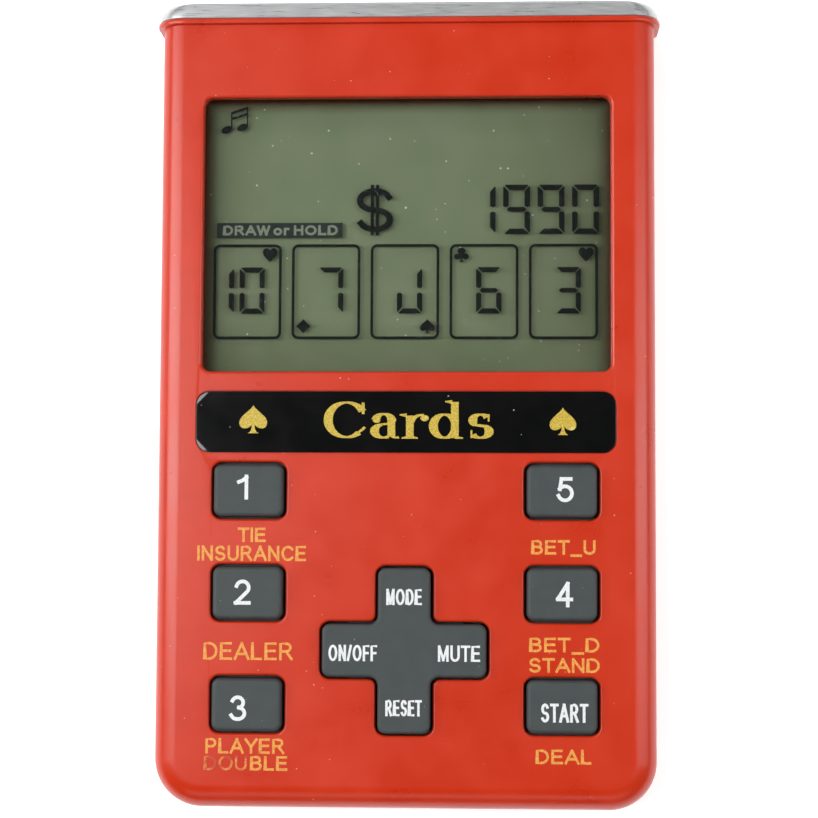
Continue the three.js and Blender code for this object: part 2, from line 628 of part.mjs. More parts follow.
add("front_housing", frontHousing(), RED);
add("back_housing", backHousing(), RED);
add("top_cap", topCap(), SILVER);
add("display_lens", slab(paneOutline(0), ...LAYER.lens), CLEAR);
add("lens_tape", lensTape(), BLACK);
const labelOutline = roundedRectangle(LABEL.width, LABEL.height, LABEL.corner, 0, LABEL.y);
add("title_label", slab(labelOutline, BODY_THICK - LABEL.sunk, BODY_THICK + LABEL.proud), BLACK);

add("lcd_front_glass", displayPlate(GLASS_INSET, LEDGE_Y, LAYER.frontGlass), CLEAR);
add("lcd_rear_glass", displayPlate(GLASS_INSET, GLASS_Y, LAYER.rearGlass), CLEAR);
add("lcd_reflector", displayPlate(GLASS_INSET, GLASS_Y, LAYER.reflector), LCD_GREY);
add("lcd_frame", displayFrame(), CREAM);
const [zebraLow, zebraHigh] = LAYER.zebra;
const zebraFoot = [-ZEBRA.half, ZEBRA.yLow, zebraLow];
add("zebra_strip", box(zebraFoot, [ZEBRA.half, ZEBRA.yHigh, zebraHigh]), CREAM);

for (const key of KEYS) {
  add("key_" + key.name, pushKey(key), RUBBER);
  add("pill_" + key.name, pill(key), CARBON);
}
add("cross_key", crossKey(), RUBBER);
add("cross_pivot", drum(NUB.radius, 0, CROSS.y, NUB.zLow, NUB.zHigh, 16), RUBBER);
for (const key of CROSS_PILLS) add("pill_" + key.name, pill(key), CARBON);
add("keypad_mat", keypadMat(), RUBBER);

add("main_board", mainBoard(), BOARD_GREEN);
add("chip_blob", chipBlob(), BLACK);
add("capacitor", capacitor(), BRASS);
add("crystal", crystal(), STEEL);
add("buzzer_disc", buzzerDisc(), BRASS);
add("buzzer_ceramic", buzzerCeramic(), CREAM);
add("buzzer_lead_red", redLead(), RED);
add("buzzer_lead_black", blackLead(), BLACK);

add("battery_cell_1", buttonCell(-CELL.x, false), STEEL);
add("battery_cell_2", buttonCell(CELL.x, true), STEEL);
add("contact_positive", cellContact(CELL.x), STEEL);
add("contact_negative", cellContact(-CELL.x), STEEL);
add("contact_bridge", contactBridge(), STEEL);
add("battery_door", batteryDoor(), RED);

CASE_SCREWS.forEach((place, index) =>
  add("case_screw_" + (index + 1), screw(place, CASE_SCREW), STEEL));
BOARD_SCREWS.forEach((place, index) =>
  add("board_screw_" + (index + 1), screw(place, BOARD_SCREW), STEEL));

export default group;
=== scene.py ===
# %% [markdown]
# # A pocket card game, finished in Blender
# The real thing is a slim plastic case, 101 mm long, with a glass display, six rubber keys and a
# cross-shaped key. A CAD model already fixes every size and every joint. This lesson loads it as a
# frame and builds the fine surface round it: soft edges, printed lettering, rubber, glass and wear.

# %% Load the CAD frame
import math
from functools import partial

import bmesh
import bpy
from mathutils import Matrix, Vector
from mathutils.geometry import delaunay_2d_cdt


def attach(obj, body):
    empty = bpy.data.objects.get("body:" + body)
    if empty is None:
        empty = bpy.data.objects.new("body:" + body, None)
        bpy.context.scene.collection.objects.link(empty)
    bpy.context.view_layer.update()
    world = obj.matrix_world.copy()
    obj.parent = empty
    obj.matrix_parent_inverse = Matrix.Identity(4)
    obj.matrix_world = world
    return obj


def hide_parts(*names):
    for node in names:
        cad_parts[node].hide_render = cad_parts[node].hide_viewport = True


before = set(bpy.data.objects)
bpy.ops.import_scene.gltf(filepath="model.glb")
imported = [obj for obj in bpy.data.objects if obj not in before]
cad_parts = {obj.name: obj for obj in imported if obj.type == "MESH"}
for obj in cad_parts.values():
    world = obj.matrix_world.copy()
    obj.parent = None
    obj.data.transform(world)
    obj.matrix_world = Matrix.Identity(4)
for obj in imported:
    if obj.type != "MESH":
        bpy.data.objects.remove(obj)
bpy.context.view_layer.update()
scene = bpy.context.scene

# %% [markdown]
# ## Camera
# The game lies on its back and the camera looks almost straight down on it, from a hand's breadth
# right of and below the middle. A long lens far away would flatten the keys, so the lens is moderate
# and the camera stands 26 cm up: the sides lean away a little, as they do to the eye.

# %% Place the camera
camera = bpy.data.objects.new("camera", bpy.data.cameras.new("camera"))
camera.data.sensor_width = 36
camera.data.lens = 90.2
camera.data.clip_start = 0.01
camera.location = (0.01198, -0.01940, 0.26319)
camera.rotation_euler = (0.0724, 0.0449, 0.0046)
scene.collection.objects.link(camera)
scene.camera = camera
scene.view_settings.view_transform = "Standard"
print("camera height, mm:", round(camera.location.z * 1000))

# %% [markdown]
# ## Floor and light
# Small glossy things are lit with large soft panels, because a plastic edge mirrors the lamp as a
# band: a small lamp gives a hard dot, a wide panel gives the long pale stripe seen on rounded sides.
# Two panels stand left and right, the left one stronger so that the keys throw a soft shadow to the
# right, and weaker ones light the two ends. Nothing bright hangs straight above: the display and the
# plate would mirror it. The floor is white and gives back a little light of its own.

# %% Floor
def stage_floor(half=1.5):
    mesh = bpy.data.meshes.new("floor")
    corners = [(-half, -half, 0), (half, -half, 0), (half, half, 0), (-half, half, 0)]
    mesh.from_pydata(corners, [], [(0, 1, 2, 3)])
    floor = bpy.data.objects.new("floor", mesh)
    paper = bpy.data.materials.new("paper")
    paper.use_nodes = True
    surface = paper.node_tree.nodes["Principled BSDF"]
    surface.inputs["Base Color"].default_value = (0.9, 0.9, 0.9, 1)
    surface.inputs["Roughness"].default_value = 0.9
    surface.inputs["Emission Color"].default_value = (1, 1, 1, 1)
    surface.inputs["Emission Strength"].default_value = 0.55
    mesh.materials.append(paper)
    scene.collection.objects.link(floor)
    floor.location.z = -0.0002


stage_floor()

# %% Lamps
def soft_panel(name, place, size, power):
    """A rectangular lamp in metres and watts that faces the middle of the game."""
    lamp = bpy.data.lights.new(name, "AREA")
    lamp.shape = "RECTANGLE"
    lamp.size, lamp.size_y = size
    lamp.energy = power
    panel = bpy.data.objects.new(name, lamp)
    panel.location = place
    panel.rotation_euler = (-Vector(place)).to_track_quat("-Z", "Y").to_euler()
    scene.collection.objects.link(panel)


soft_panel("panel_left", (-0.42, 0.06, 0.47), (0.24, 0.7), 4.0)
soft_panel("panel_right", (0.46, 0.02, 0.45), (0.22, 0.7), 2.1)
soft_panel("panel_above", (0.0, 0.65, 0.60), (0.8, 0.30), 1.3)
soft_panel("panel_below", (0.0, -0.70, 0.50), (0.8, 0.25), 0.8)
world = bpy.data.worlds.new("studio")
world.use_nodes = True
world.node_tree.nodes["Background"].inputs["Color"].default_value = (0.9, 0.94, 1, 1)
world.node_tree.nodes["Background"].inputs["Strength"].default_value = 0.03
scene.world = world

# %% [markdown]
# ## Mesh helpers
# A moulded case is a set of closed outlines stacked on each other: the outline shrinks as the round
# edge turns in, and the flat face is what is left. So a piece could be a box with bevels, but the
# bevel modifier can't tell a 3 mm fillet from a 0.2 mm one. Here each outline is a loop of points
# that can be drawn larger or smaller, loops are bridged with quads, and flat faces are filled.

# %% Loops of points, in millimetres
MM = 0.001


def rounded(width, height, corner, x=0.0, y=0.0, grow=0.0, steps=8):
    """Anticlockwise loop of a rectangle with round corners, drawn larger by grow."""
    radius = max(corner + grow, 0.02)
    loop = []
    for quarter, (side, end) in enumerate(((1, -1), (1, 1), (-1, 1), (-1, -1))):
        middle_x = x + side * (width / 2 + grow - radius)
        middle_y = y + end * (height / 2 + grow - radius)
        for step in range(steps + 1):
            angle = (quarter - 1 + step / steps) * math.pi / 2
            loop.append((middle_x + radius * math.cos(angle), middle_y + radius * math.sin(angle)))
    return loop


def disc(radius, x=0.0, y=0.0, grow=0.0, steps=32):
    turns = [2 * math.pi * step / steps for step in range(steps)]
    size = radius + grow
    return [(x + size * math.cos(turn), y + size * math.sin(turn)) for turn in turns]


def rounding(radius, steps=8):
    """A quarter round as (in, down) pairs, from the side wall up to the flat top."""
    turns = [step / steps * math.pi / 2 for step in range(steps + 1)]
    return [(radius * (1 - math.cos(turn)), radius * (1 - math.sin(turn))) for turn in turns]


def lift(loop, z):
    return [(x, y, z) for x, y in loop]


# %% Rings, bridges and fills
def ring(bm, points):
    return [bm.verts.new((x * MM, y * MM, z * MM)) for x, y, z in points]


def bridge(bm, first, second, closed=True):
    for here in range(len(first) if closed else len(first) - 1):
        after = (here + 1) % len(first)
        bm.faces.new((first[here], first[after], second[after], second[here]))


def loft(bm, loops, closed=True):
    rings = [ring(bm, loop) for loop in loops]
    for first, second in zip(rings, rings[1:]):
        bridge(bm, first, second, closed)
    return rings


def fill(bm, *rings):
    """Fills the flat area inside the first ring and outside the others."""
    edges = []
    for loop in rings:
        for first, second in zip(loop, loop[1:] + loop[:1]):
            edges.append(bm.edges.get((first, second)) or bm.edges.new((first, second)))
    bmesh.ops.triangle_fill(bm, edges=edges, use_beauty=True)


# %% From a mesh to a piece of the game
def new_piece(name, bm, material, body, node=None, sharp=35):
    """Turns the mesh into an object, shades it and lets it ride on a CAD body."""
    bmesh.ops.remove_doubles(bm, verts=bm.verts, dist=1e-7)
    bmesh.ops.dissolve_degenerate(bm, edges=bm.edges, dist=1e-7)
    bmesh.ops.recalc_face_normals(bm, faces=bm.faces)
    mesh = bpy.data.meshes.new(name)
    bm.to_mesh(mesh)
    bm.free()
    return adopt(name, mesh, material, body, node, sharp)


def adopt(name, mesh, material, body, node=None, sharp=35):
    mesh.name = name
    mesh.materials.clear()
    mesh.materials.append(material)
    mesh.shade_smooth()
    mesh.set_sharp_from_angle(angle=math.radians(sharp))
    piece = bpy.data.objects.new(name, mesh)
    scene.collection.objects.link(piece)
    even = piece.modifiers.new("even shading", "WEIGHTED_NORMAL")
    even.keep_sharp = True
    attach(piece, body)
    if node:
        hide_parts(node)
    open_edges = sum(1 for count in edge_uses(mesh) if count != 2)
    print(f"{name}: {len(mesh.polygons)} faces, {open_edges} open edges")
    return piece


def edge_uses(mesh):
    uses = [0] * len(mesh.edges)
    for loop in mesh.loops:
        uses[loop.edge_index] += 1
    return uses


# %% Solids cut from solids
def carve(mesh, tool, operation="DIFFERENCE"):
    """The mesh cut by, or joined with, another one."""
    base = bpy.data.objects.new("base", mesh)
    other = bpy.data.objects.new("other", tool)
    for thing in (base, other):
        scene.collection.objects.link(thing)
    step = base.modifiers.new("carve", "BOOLEAN")
    step.object, step.operation, step.solver = other, operation, "EXACT"
    made = bpy.data.meshes.new_from_object(base.evaluated_get(bpy.context.evaluated_depsgraph_get()))
    for thing in (base, other):
        bpy.data.objects.remove(thing)
    return made


def mesh_of(bm, name="shape"):
    bmesh.ops.remove_doubles(bm, verts=bm.verts, dist=1e-7)
    bmesh.ops.dissolve_degenerate(bm, edges=bm.edges, dist=1e-7)
    bmesh.ops.recalc_face_normals(bm, faces=bm.faces)
    mesh = bpy.data.meshes.new(name)
    bm.to_mesh(mesh)
    bm.free()
    return mesh


def add_block(bm, low, high):
    """A closed box between two corners."""
    (x0, y0, z0), (x1, y1, z1) = low, high
    floor = [(x0, y0), (x1, y0), (x1, y1), (x0, y1)]
    lower, upper = loft(bm, [lift(floor, z0), lift(floor, z1)])
    fill(bm, lower)
    fill(bm, upper)


def add_turned(bm, profile, x, y, steps=48):
    """A closed solid of revolution: profile holds (radius, z) pairs off the axis."""
    rings = loft(bm, [lift(disc(radius, x, y, steps=steps), z) for radius, z in profile])
    fill(bm, rings[0])
    fill(bm, rings[-1])

# %% [markdown]
# ## Shader groups
# Moulded plastic, rubber and ink never have one flat colour: there is grain, dust, hairline
# scratches and worn ink. Each of these effects is used by several materials, so each is one shader
# node group with named sockets, built once. A group could hold a whole material, but a small effect
# with a plain output is easier to reuse: the material decides what the mask or height does.

# %% Node helpers
def node(tree, kind, values=None, **settings):
    """Adds a node; values maps a socket name or number to a constant or another node's output."""
    made = tree.nodes.new("ShaderNode" + kind)
    for setting, value in settings.items():
        setattr(made, setting, value)
    for socket, value in (values or {}).items():
        if isinstance(value, bpy.types.NodeSocket):
            tree.links.new(value, made.inputs[socket])
        else:
            made.inputs[socket].default_value = value
    return made


def maths(tree, operation, first, second=0.0, third=0.0):
    values = {0: first, 1: second, 2: third}
    return node(tree, "Math", values, operation=operation, use_clamp=False).outputs[0]


def stretch(tree, value, low, high, to_low=0.0, to_high=1.0):
    """Maps low..high onto to_low..to_high and clamps."""
    values = {"Value": value, "From Min": low, "From Max": high, "To Min": to_low, "To Max": to_high}
    return node(tree, "MapRange", values).outputs[0]


def blend_colour(tree, factor, first, second):
    made = node(tree, "Mix", {0: factor, 6: first, 7: second}, data_type="RGBA")
    return made.outputs[2]


def shader_group(name, inputs, outputs):
    tree = bpy.data.node_groups.new(name, "ShaderNodeTree")
    for label, value in inputs.items():
        socket = tree.interface.new_socket(label, in_out="INPUT", socket_type="NodeSocketFloat")
        socket.default_value = value
    for label in outputs:
        tree.interface.new_socket(label, in_out="OUTPUT", socket_type="NodeSocketFloat")
    return tree, tree.nodes.new("NodeGroupInput").outputs, tree.nodes.new("NodeGroupOutput").inputs


# %% Grain: slow change of tone and a fine skin
def build_grain():
    """Draw above 1 pulls the grain out along the width, as brushing does."""
    tree, given, result = shader_group("moulded_grain", {"Scale": 400.0, "Draw": 1.0}, ["Tone", "Height"])
    pulled = node(tree, "CombineXYZ", {0: maths(tree, "DIVIDE", 1.0, given["Draw"]), 1: 1.0, 2: 1.0})
    place = node(tree, "VectorMath", {0: node(tree, "TexCoord").outputs["Object"], 1: pulled.outputs[0]},
                 operation="MULTIPLY").outputs[0]
    cloud = node(tree, "TexNoise", {"Vector": place, "Scale": given["Scale"], "Detail": 5.0})
    fine_scale = maths(tree, "MULTIPLY", given["Scale"], 14.0)
    fine = node(tree, "TexNoise", {"Vector": place, "Scale": fine_scale, "Detail": 2.0})
    tree.links.new(stretch(tree, cloud.outputs["Fac"], 0.3, 0.7), result["Tone"])
    tree.links.new(fine.outputs["Fac"], result["Height"])
    return tree


GRAIN = build_grain()

# %% Dust: a few small specks of uneven size
def build_dust():
    sockets = {"Scale": 500.0, "Amount": 0.05, "Size": 0.12}
    tree, given, result = shader_group("dust_specks", sockets, ["Mask"])
    place = node(tree, "TexCoord").outputs["Object"]
    rough = node(tree, "TexNoise", {"Vector": place, "Scale": 9000.0, "Detail": 1.0})
    shake = node(tree, "VectorMath", {0: rough.outputs["Color"], "Scale": 0.00012}, operation="SCALE")
    moved = node(tree, "VectorMath", {0: place, 1: shake.outputs[0]}, operation="ADD").outputs[0]
    cells = node(tree, "TexVoronoi", {"Vector": moved, "Scale": given["Scale"]})
    parts = node(tree, "SeparateColor", {0: cells.outputs["Color"]})
    size = maths(tree, "MULTIPLY", given["Size"], maths(tree, "ADD", parts.outputs["Green"], 0.3))
    spot = stretch(tree, cells.outputs["Distance"], size, maths(tree, "MULTIPLY", size, 0.4))
    limit = maths(tree, "SUBTRACT", 1.0, given["Amount"])
    chosen = maths(tree, "GREATER_THAN", parts.outputs["Red"], limit)
    tree.links.new(maths(tree, "MULTIPLY", spot, chosen), result["Mask"])
    return tree


DUST = build_dust()

# %% Hairlines: thin scratches in two directions, only in some places
def build_hairlines():
    tree, given, result = shader_group("hairlines", {"Scale": 60.0, "Amount": 0.5}, ["Mask"])
    place = node(tree, "TexCoord").outputs["Object"]
    lines = []
    for turn, stretch_by in ((0.6, 26.0), (-0.9, 34.0)):
        values = {"Vector": place, "Rotation": (0, 0, turn), "Scale": (1, stretch_by, 1)}
        along = node(tree, "Mapping", values).outputs[0]
        noise = node(tree, "TexNoise", {"Vector": along, "Scale": given["Scale"], "Detail": 1.0})
        off = maths(tree, "ABSOLUTE", maths(tree, "SUBTRACT", noise.outputs["Fac"], 0.5))
        lines.append(stretch(tree, off, 0.006, 0.001))
    patches = node(tree, "TexNoise", {"Vector": place, "Scale": 90.0, "Detail": 2.0}).outputs["Fac"]
    limit = maths(tree, "SUBTRACT", 0.8, maths(tree, "MULTIPLY", given["Amount"], 0.3))
    shown = stretch(tree, patches, limit, maths(tree, "ADD", limit, 0.08))
    both = maths(tree, "MAXIMUM", lines[0], lines[1])
    tree.links.new(maths(tree, "MULTIPLY", both, shown), result["Mask"])
    return tree


HAIRLINES = build_hairlines()

# %% Flecks: the grainy sparkle of printed gold and the wear of printed ink
def build_flecks():
    sockets = {"Scale": 4000.0, "Low": 0.4, "High": 0.6}
    tree, given, result = shader_group("ink_flecks", sockets, ["Mask"])
    place = node(tree, "TexCoord").outputs["Object"]
    noise = node(tree, "TexNoise", {"Vector": place, "Scale": given["Scale"], "Detail": 3.0})
    tree.links.new(stretch(tree, noise.outputs["Fac"], given["Low"], given["High"]), result["Mask"])
    return tree


FLECKS = build_flecks()
print("shader groups:", ", ".join(group.name for group in (GRAIN, DUST, HAIRLINES, FLECKS)))

# %% [markdown]
# ## Materials
# Every finish here is a Principled shader fed by the groups above. Roughness matters more than
# colour on a product like this: the case is satin, the rubber is nearly matt, the printed plate is
# glossy and the end cap is lacquered metal-look plastic. Constants stay on the shader's own sockets.

# %% One recipe for the solid finishes
def finish_of(name, dark, light, rough, grain=400.0, skin=0.02, dust=None, hair=0.0, metal=0.0,
              pale=(0.75, 0.72, 0.68), extra=None, draw=1.0):
    """A Principled material between two colours; rough is a (low, high) pair."""
    made = bpy.data.materials.new(name)
    made.use_nodes = True
    tree = made.node_tree
    surface = tree.nodes["Principled BSDF"]
    surface.inputs["Metallic"].default_value = metal
    for socket, value in (extra or {}).items():
        surface.inputs[socket].default_value = value
    grains = node(tree, "Group", node_tree=GRAIN)
    grains.inputs["Scale"].default_value = grain
    grains.inputs["Draw"].default_value = draw
    colour = blend_colour(tree, grains.outputs["Tone"], (*dark, 1), (*light, 1))
    roughness = stretch(tree, grains.outputs["Tone"], 0, 1, *rough)
    height = maths(tree, "MULTIPLY", grains.outputs["Height"], skin)
    if dust:
        specks = node(tree, "Group", node_tree=DUST)
        for socket, value in zip(("Scale", "Amount", "Size"), dust):
            specks.inputs[socket].default_value = value
        colour = blend_colour(tree, specks.outputs["Mask"], colour, (*pale, 1))
        roughness = maths(tree, "MAXIMUM", roughness, specks.outputs["Mask"])
    if hair:
        marks = node(tree, "Group", node_tree=HAIRLINES)
        marks.inputs["Amount"].default_value = hair
        shown = maths(tree, "MULTIPLY", marks.outputs["Mask"], 0.3)
        colour = blend_colour(tree, shown, colour, (*pale, 1))
        height = maths(tree, "SUBTRACT", height, maths(tree, "MULTIPLY", marks.outputs["Mask"], 0.3))
    bump = node(tree, "Bump", {"Height": height, "Distance": 0.0001, "Strength": 1.0})
    tree.links.new(colour, surface.inputs["Base Color"])
    tree.links.new(roughness, surface.inputs["Roughness"])
    tree.links.new(bump.outputs[0], surface.inputs["Normal"])
    return made


# %% Case, cap, rubber and plate
case_red = finish_of("case_red", (0.57, 0.027, 0.003), (0.62, 0.034, 0.006), (0.27, 0.35), 180,
                     0.05, (1000, 0.16, 0.10), 0.35, pale=(0.80, 0.45, 0.38),
                     extra={"Specular IOR Level": 0.42, "Coat Weight": 0.11, "Coat Roughness": 0.24})
cap_silver = finish_of("cap_silver", (0.48, 0.495, 0.50), (0.62, 0.63, 0.63), (0.26, 0.36), 5000,
                       0.004, metal=0.55, draw=14.0)
key_rubber = finish_of("key_rubber", (0.038, 0.048, 0.051), (0.052, 0.062, 0.063), (0.52, 0.66),
                       500, 0.18, (1500, 0.05, 0.14), pale=(0.26, 0.29, 0.29))
plate_black = finish_of("plate_black", (0.0038, 0.0040, 0.0042), (0.0062, 0.0062, 0.0064),
                        (0.07, 0.10), 300, 0.01, (1100, 0.10, 0.12), 0.3, pale=(0.35, 0.34, 0.33))

# %% Inks
def ink_of(name, bright, dull, worn, low, high, scale=4000.0, rough=0.5):
    """Printed ink whose flecks run between two colours, rubbed through to a third."""
    made = bpy.data.materials.new(name)
    made.use_nodes = True
    tree = made.node_tree
    surface = tree.nodes["Principled BSDF"]
    masks = []
    for size, edges in ((scale, (0.38, 0.62)), (700.0, (low, high))):
        flecks = node(tree, "Group", node_tree=FLECKS)
        for socket, value in zip(("Scale", "Low", "High"), (size, *edges)):
            flecks.inputs[socket].default_value = value
        masks.append(flecks.outputs["Mask"])
    colour = blend_colour(tree, masks[0], (*bright, 1), (*dull, 1))
    colour = blend_colour(tree, masks[1], colour, (*worn, 1))
    bump = node(tree, "Bump", {"Height": masks[0], "Distance": 0.00001, "Strength": 0.6})
    tree.links.new(colour, surface.inputs["Base Color"])
    tree.links.new(stretch(tree, masks[0], 0, 1, rough - 0.1, rough + 0.1), surface.inputs["Roughness"])
    tree.links.new(bump.outputs[0], surface.inputs["Normal"])
    return made


ink_white = ink_of("ink_white", (0.86, 0.88, 0.88), (0.74, 0.76, 0.77), (0.45, 0.48, 0.48), 0.72, 0.86)
ink_orange = ink_of("ink_orange", (0.84, 0.40, 0.07), (0.72, 0.27, 0.045), (0.62, 0.14, 0.04), 0.64, 0.76)
ink_faded = ink_of("ink_faded", (0.74, 0.28, 0.06), (0.60, 0.15, 0.04), (0.52, 0.06, 0.022), 0.45, 0.55)
ink_gold = ink_of("ink_gold", (0.72, 0.53, 0.06), (0.42, 0.29, 0.03), (0.80, 0.70, 0.25), 0.64, 0.80, 5200,
                  0.4)

# %% Display layers
def clear_pane(name, tint, rough, bend):
    """Clear sheet: it bends sight like glass but lets the lamps straight through."""
    made = bpy.data.materials.new(name)
    made.use_nodes = True
    tree = made.node_tree
    glass = tree.nodes["Principled BSDF"]
    glass.inputs["Transmission Weight"].default_value = 1.0
    glass.inputs["IOR"].default_value = bend
    grains = node(tree, "Group", node_tree=GRAIN)
    grains.inputs["Scale"].default_value = 250.0
    colour = blend_colour(tree, grains.outputs["Tone"], (*tint, 1), tuple(0.5 + c / 2 for c in tint) + (1,))
    roughness = stretch(tree, grains.outputs["Tone"], 0, 1, 0, rough)
    tree.links.new(roughness, glass.inputs["Roughness"])
    tree.links.new(colour, glass.inputs["Base Color"])
    open_air = node(tree, "BsdfTransparent")
    tree.links.new(colour, open_air.inputs["Color"])
    rays = node(tree, "LightPath")
    either = maths(tree, "MAXIMUM", rays.outputs["Is Shadow Ray"], rays.outputs["Is Diffuse Ray"])
    mixed = node(tree, "MixShader", {0: either, 1: glass.outputs[0], 2: open_air.outputs[0]})
    tree.links.new(mixed.outputs[0], tree.nodes["Material Output"].inputs["Surface"])
    return made


# Painted shade on the display ground: where its darker right half starts, how far the darkening at its foot
# fades, and the colour that both are toned down to.
RIGHT_FROM, FOOT_FADE = 6, 7  # millimetres: where the right side starts, how far the foot fades
PAINTED_SHADE_TONE = (0.070, 0.068, 0.038, 1)


def border_shade(material, half, low, high, fade, shade):
    """Paints shade onto a material: darkens the two sides and the far end of a rectangle in millimetres,
    a painted shadow of the case's walls with a painted red reflection of them, and tones its right half
    and its foot down a little, which is painted shade as well."""
    tree = material.node_tree
    colour = tree.nodes["Principled BSDF"].inputs["Base Color"]
    place = node(tree, "TexCoord").outputs["Object"]
    axes = node(tree, "SeparateXYZ", {0: place}).outputs
    sides = stretch(tree, maths(tree, "ABSOLUTE", axes["X"]), (half - fade) * MM, half * MM)
    ends = stretch(tree, axes["Y"], (high - fade) * MM, high * MM)
    mask = maths(tree, "POWER", maths(tree, "MAXIMUM", sides, ends), 1.6)
    right = stretch(tree, axes["X"], RIGHT_FROM * MM, half * MM, 0.0, 0.42)
    foot = stretch(tree, axes["Y"], (low + FOOT_FADE) * MM, low * MM, 0.0, 0.45)
    toned = blend_colour(tree, maths(tree, "MAXIMUM", right, foot), colour.links[0].from_socket, PAINTED_SHADE_TONE)
    tree.links.new(blend_colour(tree, mask, toned, (*shade, 1)), colour)


lens_clear = clear_pane("lens_clear", (0.97, 0.98, 0.97), 0.02, 1.45)
glass_clear = clear_pane("glass_clear", (0.96, 0.98, 0.95), 0.0, 1.12)
dull = {"Specular IOR Level": 0.1}
lcd_ground = finish_of("lcd_ground", (0.178, 0.198, 0.136), (0.198, 0.218, 0.150), (0.45, 0.6), 120, 0.02,
                       (1000, 0.30, 0.13), pale=(0.75, 0.77, 0.68), extra=dull)
# The display ground gets a painted shadow and a painted red reflection along its sides and far end, and
# painted shade on its right half and at its foot.
border_shade(lcd_ground, 25.7, 3.6, 38.6, 2.0, (0.060, 0.018, 0.007))
lcd_dark = finish_of("lcd_dark", (0.002, 0.003, 0.003), (0.004, 0.006, 0.005), (0.5, 0.6), 900, 0.01,
                     extra=dull)
lcd_bar = finish_of("lcd_bar", (0.018, 0.022, 0.022), (0.026, 0.031, 0.030), (0.5, 0.6), 900, 0.01,
                    extra=dull)
lcd_letters = finish_of("lcd_letters", (0.19, 0.215, 0.175), (0.22, 0.245, 0.2), (0.5, 0.6), 900, 0.01,
                        extra=dull)

# %% [markdown]
# ## The case outline
# Both shells of the case share one outline: straight sides, two round corners at the foot and an
# open far end, where a thin flange and the end cap close it. Drawn as an open path, the outline can
# be used at every height with a different inset, which makes the round edge between face and sides.

# %% Case sizes and paths
BODY_HALF, BODY_TOP, FACE_FILLET, BACK_FILLET = 31.25, 8.8, 3.0, 1.2
HALF_LENGTH, FOOT_CORNER, WALL, BACK_WALL = 50.5, 6.0, 1.4, 1.2
FRONT_LOW, BACK_HIGH = 4.4, 4.35  # the two sides of the parting line
SEAM = 0.12  # small round edge along the parting line
FLANGE_HALF, FLANGE_TOP, FLANGE_CORNER = 32.0, 9.5, 3.8
FLANGE_LOW_Y, FLANGE_HIGH_Y = 47.85, 48.5
CAVITY_END = FLANGE_LOW_Y - WALL


def case_path(inset, end, steps=14):
    """From the far left end, round the foot, to the far right end."""
    side, foot, radius = BODY_HALF - inset, -HALF_LENGTH + inset, FOOT_CORNER - inset
    path = [(-side, end)]
    for middle, start in ((-side + radius, math.pi), (side - radius, 1.5 * math.pi)):
        for step in range(steps + 1):
            angle = start + step / steps * math.pi / 2
            path.append((middle + radius * math.cos(angle), foot + radius + radius * math.sin(angle)))
    return path + [(side, end)]


def wall_profile(half, top, corner, parting, out):
    """(x, z) points up one side: the seam edge, the wall and the round corner."""
    seam = [(half - SEAM, parting), (half, parting + out * SEAM)]
    return seam + [(half - inward, top - out * down) for inward, down in rounding(corner, 14)]


def case_skin(bm, top, corner, parting, out):
    """The outside of one shell with its flange; returns the flat ring, the rim and the end chain."""
    profile = wall_profile(BODY_HALF, top, corner, parting, out)
    levels = [lift(case_path(BODY_HALF - x, FLANGE_LOW_Y), z) for x, z in profile]
    rings = loft(bm, levels, closed=False)
    chains = [[level[0] for level in rings] + [level[-1] for level in reversed(rings)]]
    edge = 0.14
    turn_in = [(inward, FLANGE_LOW_Y + down) for down, inward in rounding(edge, 3)]
    turn_out = [(inward, FLANGE_HIGH_Y - down) for inward, down in rounding(edge, 3)]
    for shrink, y in turn_in + turn_out:
        flange_top = (FLANGE_TOP if out > 0 else 0) - (shrink if out > 0 else 0)
        size = FLANGE_CORNER if out > 0 else BACK_FILLET
        side = wall_profile(FLANGE_HALF - shrink, flange_top, size, parting, out)
        if out < 0:
            side.append((BODY_HALF - corner, 0))
        left = [(-x, y, z) for x, z in side]
        chains.append(ring(bm, left + [(-x, y, z) for x, y, z in reversed(left)]))
    join_flange(bm, chains, out)
    rim = rings[0] + [chain[-1] for chain in chains[1:]] + [chain[0] for chain in reversed(chains[1:])]
    return rings[-1], rim, chains[-1]


def join_flange(bm, chains, out):
    body, first = chains[0], chains[1]
    if out > 0:
        bridge(bm, body, first, closed=False)
    else:
        half = len(body) // 2
        bridge(bm, body[:half], first[:half], closed=False)
        bridge(bm, body[half:], first[half + 2:], closed=False)
    for before, after in zip(chains[1:], chains[2:]):
        bridge(bm, before, after, closed=False)


# %% [markdown]
# ## Openings
# The window, the key holes and the recess of the plate are all holes in a flat face with a small
# round rim. The rim is what catches the light, so every opening gets one as real geometry: the loop
# starts wider on the face and closes to its own size a fraction of a millimetre down.

# %% Opening helper and the loops of the front
def opening(bm, outline, face, floor, rim, out=1, steps=5):
    """The wall of an opening from a face down to a floor; returns its first and last rings."""
    levels = [(grow, face - out * down) for down, grow in rounding(rim, steps)] + [(0, floor)]
    rings = loft(bm, [lift(outline(grow=grow), z) for grow, z in levels])
    return rings[0], rings[-1]


KEY_X, KEY_ROWS = 19.45, (-11.2, -23.9, -37.65)
KEYS = {"1": (-KEY_X, KEY_ROWS[0]), "2": (-KEY_X, KEY_ROWS[1]), "3": (-KEY_X, KEY_ROWS[2]),
        "5": (KEY_X, KEY_ROWS[0]), "4": (KEY_X, KEY_ROWS[1]), "start": (KEY_X, KEY_ROWS[2])}
CROSS_Y = -30.9
window = partial(rounded, 51.25, 34.7, 1.1, 0, 21.1)
plate = partial(rounded, 52.3, 7.65, 1.7, 0, -2.6)


